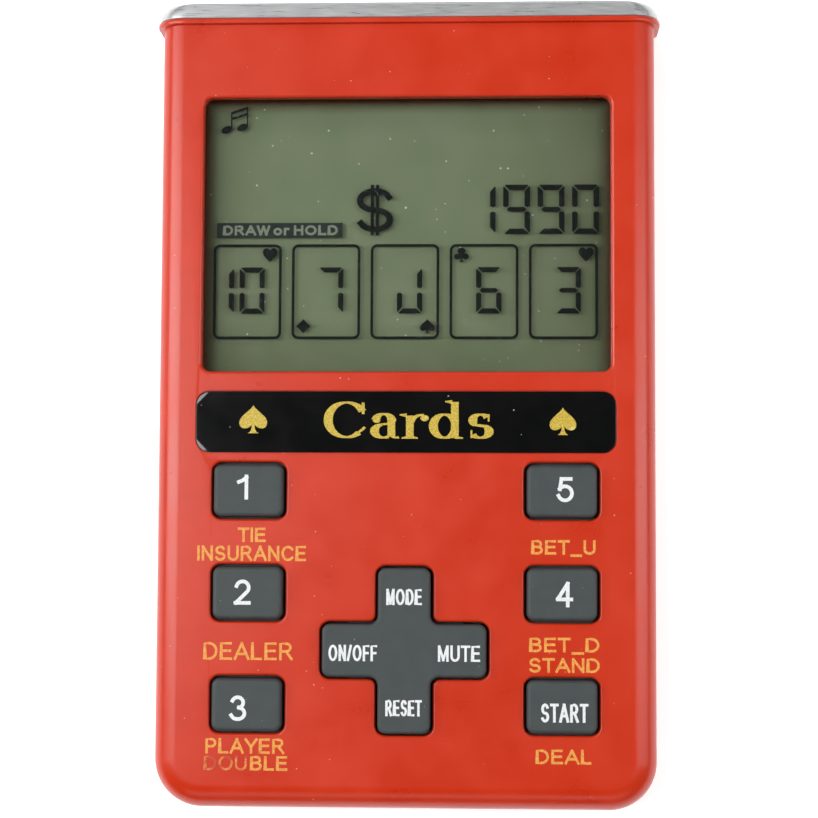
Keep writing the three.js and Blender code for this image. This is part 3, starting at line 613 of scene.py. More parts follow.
def cross(grow=0.0, steps=8):
    """A plus sign with small round outer corners and inner ones of its own."""
    reach, half, outer, inner = 10.15 + grow, 3.25 + grow, 0.95 + grow, 1.1 - grow
    corners = ((reach - outer, -half + outer, outer, -90, 90), (reach - outer, half - outer, outer, 0, 90),
               (half + inner, half + inner, inner, -90, -90))
    loop = []
    for cos, sin in ((1, 0), (0, 1), (-1, 0), (0, -1)):
        for middle_x, middle_y, radius, start, sweep in corners:
            for step in range(steps + 1):
                angle = math.radians(start + sweep * step / steps)
                x, y = middle_x + radius * math.cos(angle), middle_y + radius * math.sin(angle)
                loop.append((x * cos - y * sin, x * sin + y * cos + CROSS_Y))
    return loop


# %% [markdown]
# ## Front shell
# The red face is one moulding with a 1.4 mm wall: outside skin, inside skin, the rim between them
# at the parting line and the openings that join the two skins. Modelling it as a closed shell, and
# not as a sheet, means that the edge of the window shows real thickness.

# %% Build the front shell
FACE_INSIDE = BODY_TOP - WALL


def add_post(bm, x, y, radius, pilot, low, depth, top=FACE_INSIDE + 0.05):
    """A screw post that hangs from the inside of the face, with its pilot hole."""
    outer = loft(bm, [lift(disc(radius, x, y), z) for z in (top, low)])
    inner = loft(bm, [lift(disc(pilot, x, y), z) for z in (low, depth)])
    fill(bm, outer[0])
    fill(bm, outer[-1], inner[0])
    fill(bm, inner[-1])


def front_shell():
    bm = bmesh.new()
    face, rim, end = case_skin(bm, BODY_TOP, FACE_FILLET, FRONT_LOW, 1)
    inside = [(BODY_HALF - WALL, FRONT_LOW)]
    inside += [(BODY_HALF - WALL - inward, FACE_INSIDE - down) for inward, down in rounding(1.6, 5)]
    cavity = loft(bm, [lift(case_path(BODY_HALF - x, CAVITY_END), z) for x, z in inside], closed=False)
    outlines = [(window, 0.42)] + [(partial(rounded, 9.3, 7.1, 1.2, x, y), 0.3) for x, y in KEYS.values()]
    outlines.append((cross_hole, 0.3))
    ends = [opening(bm, outline, BODY_TOP, FACE_INSIDE, size) for outline, size in outlines]
    seat_top, seat_floor = opening(bm, seat, BODY_TOP, 8.55, 0.06)
    fill(bm, seat_floor)
    fill(bm, face, seat_top, *[top for top, _ in ends])
    fill(bm, cavity[-1], *[floor for _, floor in ends])
    fill(bm, rim, cavity[0])
    slots = [peg_slot(bm, side) for side in (-1, 1)]
    fill(bm, end, *[outer for outer, _ in slots])
    wall_end = [level[0] for level in cavity] + [level[-1] for level in reversed(cavity)]
    fill(bm, wall_end, *[inner for _, inner in slots])
    for side in (-1, 1):
        for y in (43.4, -45):
            add_post(bm, side * 26.5, y, 2.0, 0.95, FRONT_LOW, 7.1)
        for y in (-1.7, -31):
            add_post(bm, side * 27.2, y, 1.7, 0.75, FRONT_LOW, 7.0)
    return bm


def cross_hole(grow=0.0):
    return cross(grow + 0.3)


def seat(grow=0.0):
    return plate(grow=grow + 0.1)


def peg_slot(bm, side):
    """A slot in the end wall for a peg of the cap, as two rings of four points."""
    x0, x1 = side * 18 - 3.15, side * 18 + 3.15
    corners = [(x0, 5.25), (x1, 5.25), (x1, 7.15), (x0, 7.15)]
    rings = loft(bm, [[(x, y, z) for x, z in corners] for y in (FLANGE_HIGH_Y, CAVITY_END)])
    return rings[0], rings[-1]


new_piece("front_case", front_shell(), case_red, "case", "front_housing")

# %% [markdown]
# ## Back shell
# The back is a tray. Its flat outside has the recess of the battery door, four pits for the screw
# heads and a ring of small holes over the sounder; inside stand the screw posts and the battery
# bay. The door's tabs run in grooves under the edge of the recess: an undercut can't be lofted, so
# those four grooves are carved out afterwards with a boolean.

# %% Loops of the back
RECESS_HALF, RECESS_LOW, RECESS_HIGH, NOTCH = 14.15, -23.15, -2.85, 14.75
SOUNDER_Y, CELL_Y = -33.0, -11.0
SCREWS = ((26.5, 43.4), (-26.5, 43.4), (-26.5, -45.0), (26.5, -45.0))


def recess(grow=0.0):
    """The door's recess, with the notches where its tabs lift out."""
    half, low, high, notch = RECESS_HALF + grow, RECESS_LOW - grow, RECESS_HIGH + grow, NOTCH + grow
    right = [(half, low)]
    for y0, y1 in ((-19.4, -16.6), (-11.4, -8.6)):
        right += [(half, y0 - grow), (notch, y0 - grow), (notch, y1 + grow), (half, y1 + grow)]
    right.append((half, high))
    return right + [(-x, y) for x, y in reversed(right)]


bay = partial(rounded, 24.6, 12.1, 6.05, 0, CELL_Y, steps=14)
bay_outside = partial(rounded, 26.4, 13.9, 6.95, 0, CELL_Y, steps=14)
pad = partial(rounded, 31.5, 21.9, 0.5, 0, -13.0)
sound_holes = [(0, SOUNDER_Y)] + [(2.6 * math.cos(k * math.pi / 3), SOUNDER_Y
                                   + 2.6 * math.sin(k * math.pi / 3))
                                  for k in range(6)]


# %% Build the back shell
def screw_post(bm, x, y):
    """Pit, hole and post for a case screw; returns the rings on the outside and on the floor."""
    pit, pit_floor = opening(bm, partial(disc, 1.8, x, y), 0, 1.5, 0.12, -1, 3)
    hole = loft(bm, [lift(disc(1.1, x, y), z) for z in (1.5, BACK_HIGH)])
    post = loft(bm, [lift(disc(2.6, x, y), z) for z in (BACK_HIGH, BACK_WALL)])
    fill(bm, pit_floor, hole[0])
    fill(bm, post[0], hole[-1])
    return pit, post[-1]


def battery_bay(bm):
    """Recess, bay walls and the pad that they stand on; returns the outer and the floor ring."""
    mouth, recess_floor = opening(bm, recess, 0, 1.0, 0.1, -1, 2)
    inner = loft(bm, [lift(bay(), z) for z in (1.0, 6.6)])
    outer = loft(bm, [lift(bay_outside(), z) for z in (6.6, 1.8)])
    step = loft(bm, [lift(pad(), z) for z in (1.8, BACK_WALL)])
    fill(bm, recess_floor, inner[0])
    fill(bm, outer[0], inner[-1])
    fill(bm, step[0], outer[-1])
    return mouth, step[-1]


def sounder_seat(bm):
    """The ring that the sounder lies on and the sound holes inside it."""
    levels = ((7.8, BACK_WALL), (7.8, 1.6), (6.8, 1.6), (6.8, BACK_WALL))
    rings = loft(bm, [lift(disc(radius, 0, SOUNDER_Y, steps=48), z) for radius, z in levels])
    holes = [opening(bm, partial(disc, 0.5, x, y, steps=20), 0, BACK_WALL, 0.15, -1, 3) for x,
             y in sound_holes]
    fill(bm, rings[-1], *[floor for _, floor in holes])
    return [mouth for mouth, _ in holes], rings[0]


def back_shell():
    bm = bmesh.new()
    flat, rim, end = case_skin(bm, 0.0, BACK_FILLET, BACK_HIGH, -1)
    cavity = loft(bm, [lift(case_path(WALL, CAVITY_END), z) for z in (BACK_HIGH, BACK_WALL)])
    posts = [screw_post(bm, x, y) for x, y in SCREWS]
    mouth, pad_ring = battery_bay(bm)
    holes, seat_ring = sounder_seat(bm)
    fill(bm, flat, mouth, *[pit for pit, _ in posts], *holes)
    fill(bm, cavity[-1], pad_ring, seat_ring, *[floor for _, floor in posts])
    fill(bm, rim, cavity[0])
    fill(bm, end)
    return mesh_of(bm)


def groove_cutters():
    bm = bmesh.new()
    for side in (-1, 1):
        for y in (-14.0, -6.0):
            near, far = sorted((side * 14.0, side * NOTCH))
            add_block(bm, (near, y - 5.0, 0.45), (far, y + 1.4, 1.02))
    return mesh_of(bm)


back = carve(back_shell(), groove_cutters())
adopt("back_case", back, case_red, "case", "back_housing")

# %% [markdown]
# ## End cap
# A strip of silver lacquered plastic closes the far end. It has the section of the flange, round at
# the face, and its two far corners are round as well, so the lamps run round them as a bright and a
# dark band. The strip is a loft of sections along the length, each a little narrower at the end.

# %% Build the end cap
def cap_section(half, low, top):
    """(x, z) loop across the case: 3.8 mm round at the face, 1.2 mm at the back."""
    back, face = 1.2, FLANGE_CORNER
    spots = ((half - back, low + back, back, -90), (half - face, top - face, face, 0))
    right = []
    for middle_x, middle_z, radius, start in spots:
        for step in range(13):
            angle = math.radians(start + 90 * step / 12)
            right.append((middle_x + radius * math.cos(angle), middle_z + radius * math.sin(angle)))
    return right + [(-x, z) for x, z in reversed(right)]


def end_cap():
    bm = bmesh.new()
    inner_y, corner, edge = 48.55, 1.75, 0.35
    stations = [(0.1, inner_y), (0.0, inner_y + 0.1), (0.0, HALF_LENGTH - corner)]
    stations += [(0.0, HALF_LENGTH - corner * (1 - math.sin(a))) for a in (0.15, 0.3, 0.45, 0.6, 0.72)]
    stations += [(0.0, HALF_LENGTH - edge)] + [(inward, HALF_LENGTH - down) for inward,
                                               down in rounding(edge, 6)[1:]]
    loops = []
    for shrink, y in stations:
        past = max(0.0, y - (HALF_LENGTH - corner))
        narrow = corner - math.sqrt(max(0.0, corner * corner - past * past))
        side = min(narrow, corner - 0.05) if y > HALF_LENGTH - corner else 0.0
        section = cap_section(31.8 - max(side, shrink), 0.05 + shrink, 9.45 - shrink)
        loops.append([(x, y, z) for x, z in section])
    rings = loft(bm, loops)
    fill(bm, rings[0])
    fill(bm, rings[-1])
    for side in (-1, 1):
        add_block(bm, (side * 18 - 3, 45.95, 5.4), (side * 18 + 3, 48.6, 7.0))
    return bm


new_piece("end_cap", end_cap(), cap_silver, "case", "top_cap")

# %% [markdown]
# ## Rubber keys
# Each key is a rubber block that comes up through its hole: a top with a soft edge, walls that lean
# in a little so that it leaves the mould, a flange that stops it from falling out and a stem that
# carries the contact pill. Every key rides on its own body, because each one can be pressed.

# %% Build the six keys
KEY_TOP, FLANGE_TOP_Z, FLANGE_LOW_Z, STEM_LOW = 9.685, 7.1, 6.0, 5.45


def key_top(bm, outline, low, soft=0.5, lean=0.08):
    """Walls and top of a key, closed at the top; returns its lowest ring."""
    levels = [(0.0, low)] + [(-lean - inward, KEY_TOP - down) for inward, down in rounding(soft, 7)]
    rings = loft(bm, [lift(outline(grow=grow), z) for grow, z in levels])
    fill(bm, rings[-1])
    return rings[0]


def rubber_key(x, y):
    bm = bmesh.new()
    cap = key_top(bm, partial(rounded, 8.8, 6.6, 1.0, x, y), FLANGE_TOP_Z)
    skirt = partial(rounded, 10.9, 8.7, 1.8, x, y)
    levels = ((-0.12, FLANGE_TOP_Z), (0.0, FLANGE_TOP_Z - 0.12), (0.0, FLANGE_LOW_Z))
    rings = loft(bm, [lift(skirt(grow=grow), z) for grow, z in levels])
    stem = loft(bm, [lift(disc(2.3, x, y), z) for z in (FLANGE_LOW_Z, STEM_LOW)])
    fill(bm, rings[0], cap)
    fill(bm, rings[-1], stem[0])
    fill(bm, stem[-1])
    return bm


for name, (x, y) in KEYS.items():
    new_piece("rubber_key_" + name, rubber_key(x, y), key_rubber, "button_" + name, "key_" + name,
              sharp=50)

# %% [markdown]
# ## Cross key
# The cross rocks on a small nub under its middle, so all four arms are one moulding on one body.
# Its outline is the plus-shaped loop again; the round disc below it, which keeps it in the case,
# and the four stems are joined on with a boolean, since their outlines cross the arms.

# %% Build the cross key
def cross_key():
    bm = bmesh.new()
    low = key_top(bm, cross, FLANGE_LOW_Z, 0.4, 0.0)
    fill(bm, low)
    skirt = bmesh.new()
    add_turned(skirt, ((8.0, FLANGE_LOW_Z - 0.01), (8.0, 6.4), (7.9, 6.5)), 0, CROSS_Y, 64)
    joined = carve(mesh_of(bm), mesh_of(skirt), "UNION")
    for x, y in ((0, 7), (-7, 0), (7, 0), (0, -7)):
        stem = bmesh.new()
        add_turned(stem, ((2.3, STEM_LOW), (2.3, FLANGE_LOW_Z + 0.1)), x, CROSS_Y + y, 32)
        joined = carve(joined, mesh_of(stem), "UNION")
    return joined


adopt("rubber_cross", cross_key(), key_rubber, "cross_button", "cross_key", sharp=50)

# %% [markdown]
# ## Title plate
# A black glossy plate sits in a shallow recess under the window. It is thin enough to be a sticker,
# but its edge stands a twentieth of a millimetre proud, so it is built as a slab with a soft edge.

# %% Build the title plate
def soft_slab(outline, low, top, soft, steps=4):
    bm = bmesh.new()
    levels = [(0.0, low)] + [(-inward, top - down) for inward, down in rounding(soft, steps)]
    rings = loft(bm, [lift(outline(grow=grow), z) for grow, z in levels])
    fill(bm, rings[0])
    fill(bm, rings[-1])
    return bm


PLATE_LOW, PLATE_TOP = 8.56, 8.85
plate_slab = soft_slab(plate, PLATE_LOW, PLATE_TOP, 0.05)
new_piece("title_plate", plate_slab, plate_black, "case", "title_label")

# %% [markdown]
# ## Printing
# Ink on plastic has a thickness of its own: a hundredth of a millimetre, which is enough to catch an
# edge in a close view. Lettering could come from a font, but the plain sans-serif printing of such a
# case is only bars and bows of one width, so each sign is written as pen strokes. The strokes of a
# word overlap, and a constrained triangulation turns them into one flat shape before it gets its
# thickness. Each word is then fitted to the box that it fills on the product.

# %% Pen strokes
INK = 0.012


def bow(x, y, wide, tall, start, end, steps=14):
    """Part of an ellipse, in degrees, as points."""
    angles = [math.radians(start + (end - start) * step / steps) for step in range(steps + 1)]
    return [(x + wide * math.cos(a), y + tall * math.sin(a)) for a in angles]


def pen(path, thin, thick=None, square=True):
    """The outline of one stroke: thick where the pen runs upright, thin where it runs level."""
    thick = thick or thin
    if square:
        path = [past_end(path[1], path[0], thin)] + path[1:-1] + [past_end(path[-2], path[-1], thin)]
    left, right = [], []
    for here, (x, y) in enumerate(path):
        (x0, y0), (x1, y1) = path[max(here - 1, 0)], path[min(here + 1, len(path) - 1)]
        run, rise = x1 - x0, y1 - y0
        length = math.hypot(run, rise)
        half = thin + (thick - thin) * abs(rise / length) ** 1.5
        corner = 1.0
        if 0 < here < len(path) - 1:
            ahead = math.hypot(x1 - x, y1 - y)
            corner = max(0.6, abs((x1 - x) * run + (y1 - y) * rise) / (ahead * length))
        left.append((x - rise / length * half / corner, y + run / length * half / corner))
        right.append((x + rise / length * half / corner, y - run / length * half / corner))
    return left + right[::-1]


def past_end(before, end, more):
    run, rise = end[0] - before[0], end[1] - before[1]
    length = math.hypot(run, rise)
    return (end[0] + run / length * more, end[1] + rise / length * more)


# %% From outlines to a flat shape with a thickness
def turn_of(outline):
    """Twice the signed area: positive for an anticlockwise outline, which the triangulation needs."""
    return sum(x0 * y1 - x1 * y0 for (x0, y0), (x1, y1) in zip(outline, outline[1:] + outline[:1]))


def flat_union(bm, outlines):
    """One triangulated flat shape that covers all the outlines, in millimetres."""
    outlines = [outline if turn_of(outline) > 0 else outline[::-1] for outline in outlines]
    points = [Vector(point) for outline in outlines for point in outline]
    faces, first = [], 0
    for outline in outlines:
        faces.append(list(range(first, first + len(outline))))
        first += len(outline)
    spots, _, cells, _, _, owners = delaunay_2d_cdt(points, [], faces, 0, 1e-4)
    made = [bm.verts.new((spot.x * MM, spot.y * MM, 0)) for spot in spots]
    for cell, owner in zip(cells, owners):
        if owner:
            bm.faces.new([made[index] for index in cell])
    for vert in made:
        if not vert.link_faces:
            bm.verts.remove(vert)


def thicken(bm, z, thick):
    """Gives flat shapes in the plane z = 0 their thickness, in millimetres."""
    bmesh.ops.remove_doubles(bm, verts=bm.verts, dist=1e-8)
    made = bmesh.ops.extrude_face_region(bm, geom=list(bm.faces), use_keep_orig=True)
    upper = {item for item in made["geom"] if isinstance(item, bmesh.types.BMVert)}
    for vert in bm.verts:
        vert.co.z = (z + (thick if vert in upper else 0)) * MM


def stamped(name, outlines, material, z, thick=INK, body="case"):
    """Flat outlines as one thin piece; outlines that overlap become one shape."""
    bm = bmesh.new()
    flat_union(bm, outlines)
    thicken(bm, z, thick)
    return new_piece(name, bm, material, body, sharp=30)


# %% Sans-serif signs: width and centre lines, one unit high
SIGNS = {
    "A": (0.80, [[(0, 0), (0.40, 1)], [(0.40, 1), (0.80, 0)], [(0.16, 0.32), (0.64, 0.32)]]),
    "B": (0.60, [[(0.33, 1), (0, 1), (0, 0), (0.35, 0)], [(0, 0.53), (0.33, 0.53)],
                 bow(0.33, 0.765, 0.22, 0.235, 90, -90), bow(0.33, 0.265, 0.27, 0.265, 90, -90)]),
    "C": (0.72, [bow(0.40, 0.5, 0.40, 0.5, 42, 318, 24)]),
    "D": (0.68, [[(0.26, 1), (0, 1), (0, 0), (0.26, 0)], bow(0.26, 0.5, 0.42, 0.5, 90, -90, 20)]),
    "E": (0.58, [[(0.56, 1), (0, 1), (0, 0), (0.58, 0)], [(0, 0.52), (0.52, 0.52)]]),
    "F": (0.52, [[(0.52, 1), (0, 1), (0, 0)], [(0, 0.5), (0.46, 0.5)]]),
    "H": (0.64, [[(0, 0), (0, 1)], [(0.64, 0), (0.64, 1)], [(0, 0.52), (0.64, 0.52)]]),
    "I": (0.0, [[(0, 0), (0, 1)]]),
    "L": (0.50, [[(0, 1), (0, 0), (0.50, 0)]]),
    "M": (0.76, [[(0, 0), (0, 1)], [(0.02, 1), (0.38, 0.04)], [(0.38, 0.04), (0.74, 1)],
                 [(0.76, 1), (0.76, 0)]]),
    "N": (0.64, [[(0, 0), (0, 1)], [(0.01, 1), (0.63, 0)], [(0.64, 0), (0.64, 1)]]),
    "O": (0.82, [bow(0.41, 0.5, 0.41, 0.5, 0, 184, 20), bow(0.41, 0.5, 0.41, 0.5, 180, 364, 20)]),
    "P": (0.58, [[(0.33, 1), (0, 1), (0, 0)], [(0, 0.46), (0.33, 0.46)],
                 bow(0.33, 0.73, 0.25, 0.27, 90, -90)]),
    "R": (0.66, [[(0.34, 1), (0, 1), (0, 0)], [(0, 0.5), (0.34, 0.5)], bow(0.34, 0.75, 0.25, 0.25, 90, -90),
                 [(0.34, 0.48), (0.66, 0)]]),
    "S": (0.60, [bow(0.30, 0.745, 0.27, 0.255, 25, 262) + bow(0.30, 0.25, 0.30, 0.25, 82, -155)]),
    "T": (0.64, [[(0, 1), (0.64, 1)], [(0.32, 1), (0.32, 0)]]),
    "U": (0.64, [[(0, 1)] + bow(0.32, 0.32, 0.32, 0.32, 180, 360, 18) + [(0.64, 1)]]),
    "W": (1.04, [[(0, 1), (0.26, 0)], [(0.26, 0), (0.52, 0.96)], [(0.52, 0.96), (0.78, 0)],
                 [(0.78, 0), (1.04, 1)]]),
    "Y": (0.72, [[(0, 1), (0.36, 0.44)], [(0.72, 1), (0.36, 0.44)], [(0.36, 0.44), (0.36, 0)]]),
    "o": (0.54, [bow(0.27, 0.34, 0.27, 0.34, 0, 184), bow(0.27, 0.34, 0.27, 0.34, 180, 364)]),
    "r": (0.26, [[(0, 0), (0, 0.68)], bow(0.24, 0.42, 0.24, 0.26, 180, 80, 8)]),
    "/": (0.34, [[(0, 0), (0.34, 1)]]),
    "_": (0.62, [[(0, -0.18), (0.62, -0.18)]]),
    "1": (0.30, [[(0.30, 0), (0.30, 1)], [(0.30, 0.96), (0.16, 0.82), (0, 0.74)]]),
    "2": (0.60, [bow(0.31, 0.71, 0.28, 0.29, 165, -38) + [(0.01, 0)], [(0.0, 0), (0.60, 0)]]),
    "3": (0.60, [bow(0.29, 0.755, 0.25, 0.245, 160, -75), bow(0.29, 0.26, 0.31, 0.27, 80, -160)]),
    "4": (0.68, [[(0.50, 0), (0.50, 1)], [(0.49, 1), (0.01, 0.31)], [(0.0, 0.28), (0.68, 0.28)]]),
    "5": (0.60, [[(0.54, 1), (0.13, 1)], [(0.13, 1), (0.06, 0.52)], bow(0.29, 0.33, 0.31, 0.33, 140, -160)]),
}
NO_BEARING = "ATYVW/_"


def word_strokes(text, left, low, right, high, pen_width):
    """Outlines of a word whose capitals fill a box, all in millimetres."""
    half = pen_width / 2
    tall = high - low - pen_width
    spots, reach = [], 0.0
    for sign in text:
        bearing = 0.02 if sign in NO_BEARING else 0.075
        reach += bearing if spots else 0.0
        spots.append((sign, reach))
        reach += SIGNS[sign][0] + bearing
    width = spots[-1][1] + SIGNS[spots[-1][0]][0]
    wide = (right - left - pen_width * len(spots)) / width if width else 1.0
    outlines = []
    for number, (sign, start) in enumerate(spots):
        middle = left + half + number * pen_width + start * wide
        for path in SIGNS[sign][1]:
            placed = [(middle + x * wide, low + half + y * tall) for x, y in path]
            outlines.append(pen(placed, half))
    return outlines


def printed(name, words, ink, body, z, pen_width):
    """Prints words: each is (text, left, low, right, high), its box in millimetres."""
    outlines = [outline for text, *box in words for outline in word_strokes(text, *box, pen_width)]
    return stamped(name, outlines, ink, z, body=body)


# %% Legends on the keys and on the face
def boxed(word, near, x, y, wide, tall):
    """A word with its box (left, low, right, high), whose middle lies at x, y from a point."""
    x, y = near[0] + x, near[1] + y
    return word, x - wide / 2, y - tall / 2, x + wide / 2, y + tall / 2


# Printing never lands dead centre, so every legend has its own small shift from its key's middle.
KEY_SHIFTS = {"1": (-0.7, 0.4), "2": (-0.6, 0.1), "3": (-1.0, -0.4), "5": (0.4, 0.2), "4": (0.3, 0.0),
              "start": (0.3, -0.7)}
DIGIT_SIZE = (2.1, 3.1)
ODD_SIZES = {"1": (1.4, 3.1), "start": (5.8, 2.3)}
for name, shift in KEY_SHIFTS.items():
    legend = boxed(name.upper(), KEYS[name], *shift, *ODD_SIZES.get(name, DIGIT_SIZE))
    printed("print_key_" + name, [legend], ink_white, "button_" + name, KEY_TOP,
            0.34 if name == "start" else 0.45)

CROSS_TALL = 2.0
CROSS_WORDS = (("MODE", 0.0, 6.6, 4.4), ("ON/OFF", -6.3, -0.3, 6.0), ("MUTE", 6.8, -0.3, 5.2),
               ("RESET", 0.0, -7.0, 4.5))
cross_words = [boxed(word, (0, CROSS_Y), x, y, wide, CROSS_TALL) for word, x, y, wide in CROSS_WORDS]
printed("print_cross", cross_words, ink_white, "cross_button", KEY_TOP, 0.30)

# Each face word hangs below a key: the key, the shift from its middle, the width and the height.
FACE_WORDS = (("TIE", "1", 0.4, -5.5, 3.5, 1.8), ("INSURANCE", "1", 0.4, -7.8, 13.6, 1.9),
              ("DEALER", "2", 0.1, -7.2, 11.1, 2.2), ("PLAYER", "3", -0.2, -5.1, 9.8, 1.9),
              ("BLE", "3", 2.8, -7.2, 4.6, 1.8), ("BET_U", "5", 0.2, -6.9, 7.9, 1.8),
              ("BET_D", "4", 0.3, -6.2, 8.6, 1.8), ("STAND", "4", 0.3, -8.7, 8.7, 1.8),
              ("DEAL", "start", 0.2, -6.1, 6.8, 1.8))
face_words = [boxed(word, KEYS[key], *place) for word, key, *place in FACE_WORDS]
printed("print_face", face_words, ink_orange, "case", BODY_TOP, 0.31)
faded_word = boxed("DOU", KEYS["3"], -2.6, -7.2, 5.3, 1.8)
printed("print_face_faded", [faded_word], ink_faded, "case", BODY_TOP, 0.27)

# %% [markdown]
# ## Title
# The title is in a bold face with serifs: upright strokes are heavy, level ones are thin, and every
# stem ends in a small foot. The same pen does this when its width follows the stroke's direction.

# %% Title strokes, one unit high
def foot(x, y, reach=0.13):
    """A serif: a thin level bar that swells a little where the stem stands on it."""
    return [(x - reach, y - 0.02), (x + reach, y - 0.02), (x + reach, y + 0.015), (x + 0.07, y + 0.05),
            (x - 0.07, y + 0.05), (x - reach, y + 0.015)]


def head(x, y, reach=0.13):
    return [(px, 2 * y - py) for px, py in foot(x, y, reach)]


def stem(x, low, high, half=0.075):
    return [(x - half, low), (x + half, low), (x + half, high), (x - half, high)]


def flag(x, y):
    """The slanted serif at the upper left of a small letter."""
    return [(x - 0.14, y - 0.035), (x, y - 0.09), (x, y + 0.02), (x - 0.14, y - 0.005)]


THIN, THICK = 0.027, 0.088
TITLE = [
    (0.0, [pen(bow(0.44, 0.5, 0.36, 0.48, 30, 312, 36), THIN, THICK, False), stem(0.765, 0.66, 0.98, 0.028),
           pen([(0.66, 0.14), (0.76, 0.24), (0.80, 0.30)], THIN, 0.03, False)]),
    (0.92, [stem(0.40, 0.08, 0.50), pen(bow(0.25, 0.46, 0.16, 0.20, 168, 0, 16), THIN, THICK, False),
            bow(0.11, 0.49, 0.075, 0.075, 0, 345, 16),
            pen(bow(0.25, 0.19, 0.18, 0.18, 100, 300, 20), THIN, THICK, False),
            pen([(0.22, 0.375), (0.42, 0.41)], THIN, THIN, False),
            pen([(0.32, 0.03), (0.42, 0.11)], THIN, THIN, False),
            pen(bow(0.50, 0.12, 0.09, 0.11, 190, 300, 10), THIN, 0.05, False)]),
    (1.52, [stem(0.16, 0.0, 0.62), foot(0.16, 0.0, 0.16), flag(0.10, 0.66),
            pen(bow(0.40, 0.40, 0.20, 0.24, 170, 80, 12), THIN, 0.05, False),
            bow(0.45, 0.55, 0.085, 0.085, 0, 345, 18)]),
    (2.06, [pen(bow(0.30, 0.33, 0.22, 0.32, 20, 340, 30), THIN, THICK, False), stem(0.50, 0.0, 1.0),
            flag(0.45, 1.03), [(0.50, -0.02), (0.66, -0.02), (0.66, 0.02), (0.50, 0.05)]]),
    (2.82, [pen(bow(0.24, 0.49, 0.15, 0.16, 30, 235, 18) + bow(0.24, 0.18, 0.17, 0.17, 65, -150, 18), THIN,
                THICK, False),
            stem(0.40, 0.46, 0.66, 0.018), stem(0.065, 0.0, 0.22, 0.018)]),
]
TITLE_LEFT, TITLE_LOW, TITLE_WIDE, TITLE_TALL = -10.0, -4.6, 20.7, 4.5
TITLE_UNITS = 3.25  # the width of the whole word in the unit of its strokes
unit = TITLE_WIDE / TITLE_UNITS
strokes = [[(TITLE_LEFT + (start + x - 0.02) * unit, TITLE_LOW + y * TITLE_TALL) for x, y in outline]
           for start, outlines in TITLE for outline in outlines]
stamped("print_title", strokes, ink_gold, PLATE_TOP)

# %% [markdown]
# ## Suit signs
# Hearts, spades, clubs and diamonds are half outlines mirrored about their middle line. A half
# outline is a short chain of Bezier curves, which is how they would be drawn by hand as well.

# %% Suit outlines in a unit box
def bezier(start, out, into, end, steps=10):
    points = []
    for step in range(steps):
        t = step / steps
        weights = ((1 - t) ** 3, 3 * t * (1 - t) ** 2, 3 * t * t * (1 - t), t ** 3)
        points.append(tuple(sum(w * p[axis] for w, p in zip(weights, (start, out, into, end)))
                            for axis in (0, 1)))
    return points


SPADE = (bezier((0, 1), (0.1, 0.8), (0.52, 0.62), (0.5, 0.36))
         + bezier((0.5, 0.36), (0.48, 0.12), (0.2, 0.12), (0.05, 0.3))
         + bezier((0.05, 0.3), (0.05, 0.14), (0.1, 0.04), (0.2, 0)) + [(0.2, 0)])
HEART = (bezier((0, 0), (0.08, 0.16), (0.5, 0.42), (0.5, 0.7))
         + bezier((0.5, 0.7), (0.5, 1.06), (0.08, 1.1), (0, 0.78)))
DIAMOND = [(0, 1), (0.25, 0.72), (0.5, 0.5), (0.25, 0.28), (0, 0)]
CLUB = (bezier((0, 1), (0.32, 1), (0.34, 0.66), (0.16, 0.58))
        + bezier((0.16, 0.58), (0.34, 0.66), (0.52, 0.52), (0.5, 0.36))
        + bezier((0.5, 0.36), (0.46, 0.12), (0.14, 0.14), (0.05, 0.34))
        + bezier((0.05, 0.34), (0.05, 0.16), (0.1, 0.04), (0.18, 0))
        + [(0.18, 0)])


def suit(half, x, y, wide, tall):
    """A suit sign round its middle: the half outline and its mirror image."""
    whole = half + [(-u, v) for u, v in reversed(half) if u > 0.001]
    return [(x + u * wide, y + (v - 0.5) * tall) for u, v in whole]


spades = [suit(SPADE, -19.0, -2.3, 3.5, 3.5), suit(SPADE, 19.6, -2.5, 3.3, 3.4)]
stamped("print_spades", spades, ink_gold, PLATE_TOP)

# %% [markdown]
# ## Display
# A liquid-crystal display is a sandwich: the dark segments float between two panes, and a grey-green
# reflector lies half a millimetre below them. That gap is why each digit has a faint second image,
# its own shadow, beside it. So the segments here are thin shapes between the panes, and the lamps
# make the shadow: nothing of it is painted.

# %% Seven-segment figures
SEGMENT_Z = 5.783
SEGMENTS = {"0": "abcdef", "1": "bc", "3": "abcdg", "6": "acdefg", "7": "abc", "9": "abcdfg", "J": "bcde"}


def segment(kind, left, low, right, high, stroke, gap=0.13):
    """One bar of a seven-segment figure: mitred at its ends, with a gap to the next."""
    middle = (low + high) / 2
    half = stroke / 2
    if kind in "ad":
        edge, sign = (high, -1) if kind == "a" else (low, 1)
        return [(left + 1.6 * gap + 0.1, edge), (right - 1.6 * gap - 0.1, edge),
                (right - 1.6 * gap, edge + sign * 0.1), (right - stroke - gap, edge + sign * stroke),
                (left + stroke + gap, edge + sign * stroke), (left + 1.6 * gap, edge + sign * 0.1)]
    if kind == "g":
        inset = stroke * 0.62
        return [(left + inset, middle), (left + inset + half, middle + half * 0.9),
                (right - inset - half, middle + half * 0.9), (right - inset, middle),
                (right - inset - half, middle - half * 0.9), (left + inset + half, middle - half * 0.9)]
    outer, inward = (right, -1) if kind in "bc" else (left, 1)
    tip, joint, up = (high, middle, 1) if kind in "bf" else (low, middle, -1)
    return [(outer, tip - up * 2.2 * gap), (outer, joint + up * 3.2 * gap),
            (outer + inward * half, joint + up * 2.0 * gap),
            (outer + inward * stroke, joint + up * 3.2 * gap),
            (outer + inward * stroke, tip - up * (stroke + 1.4 * gap)),
            (outer + inward * 0.12, tip - up * 1.7 * gap)]


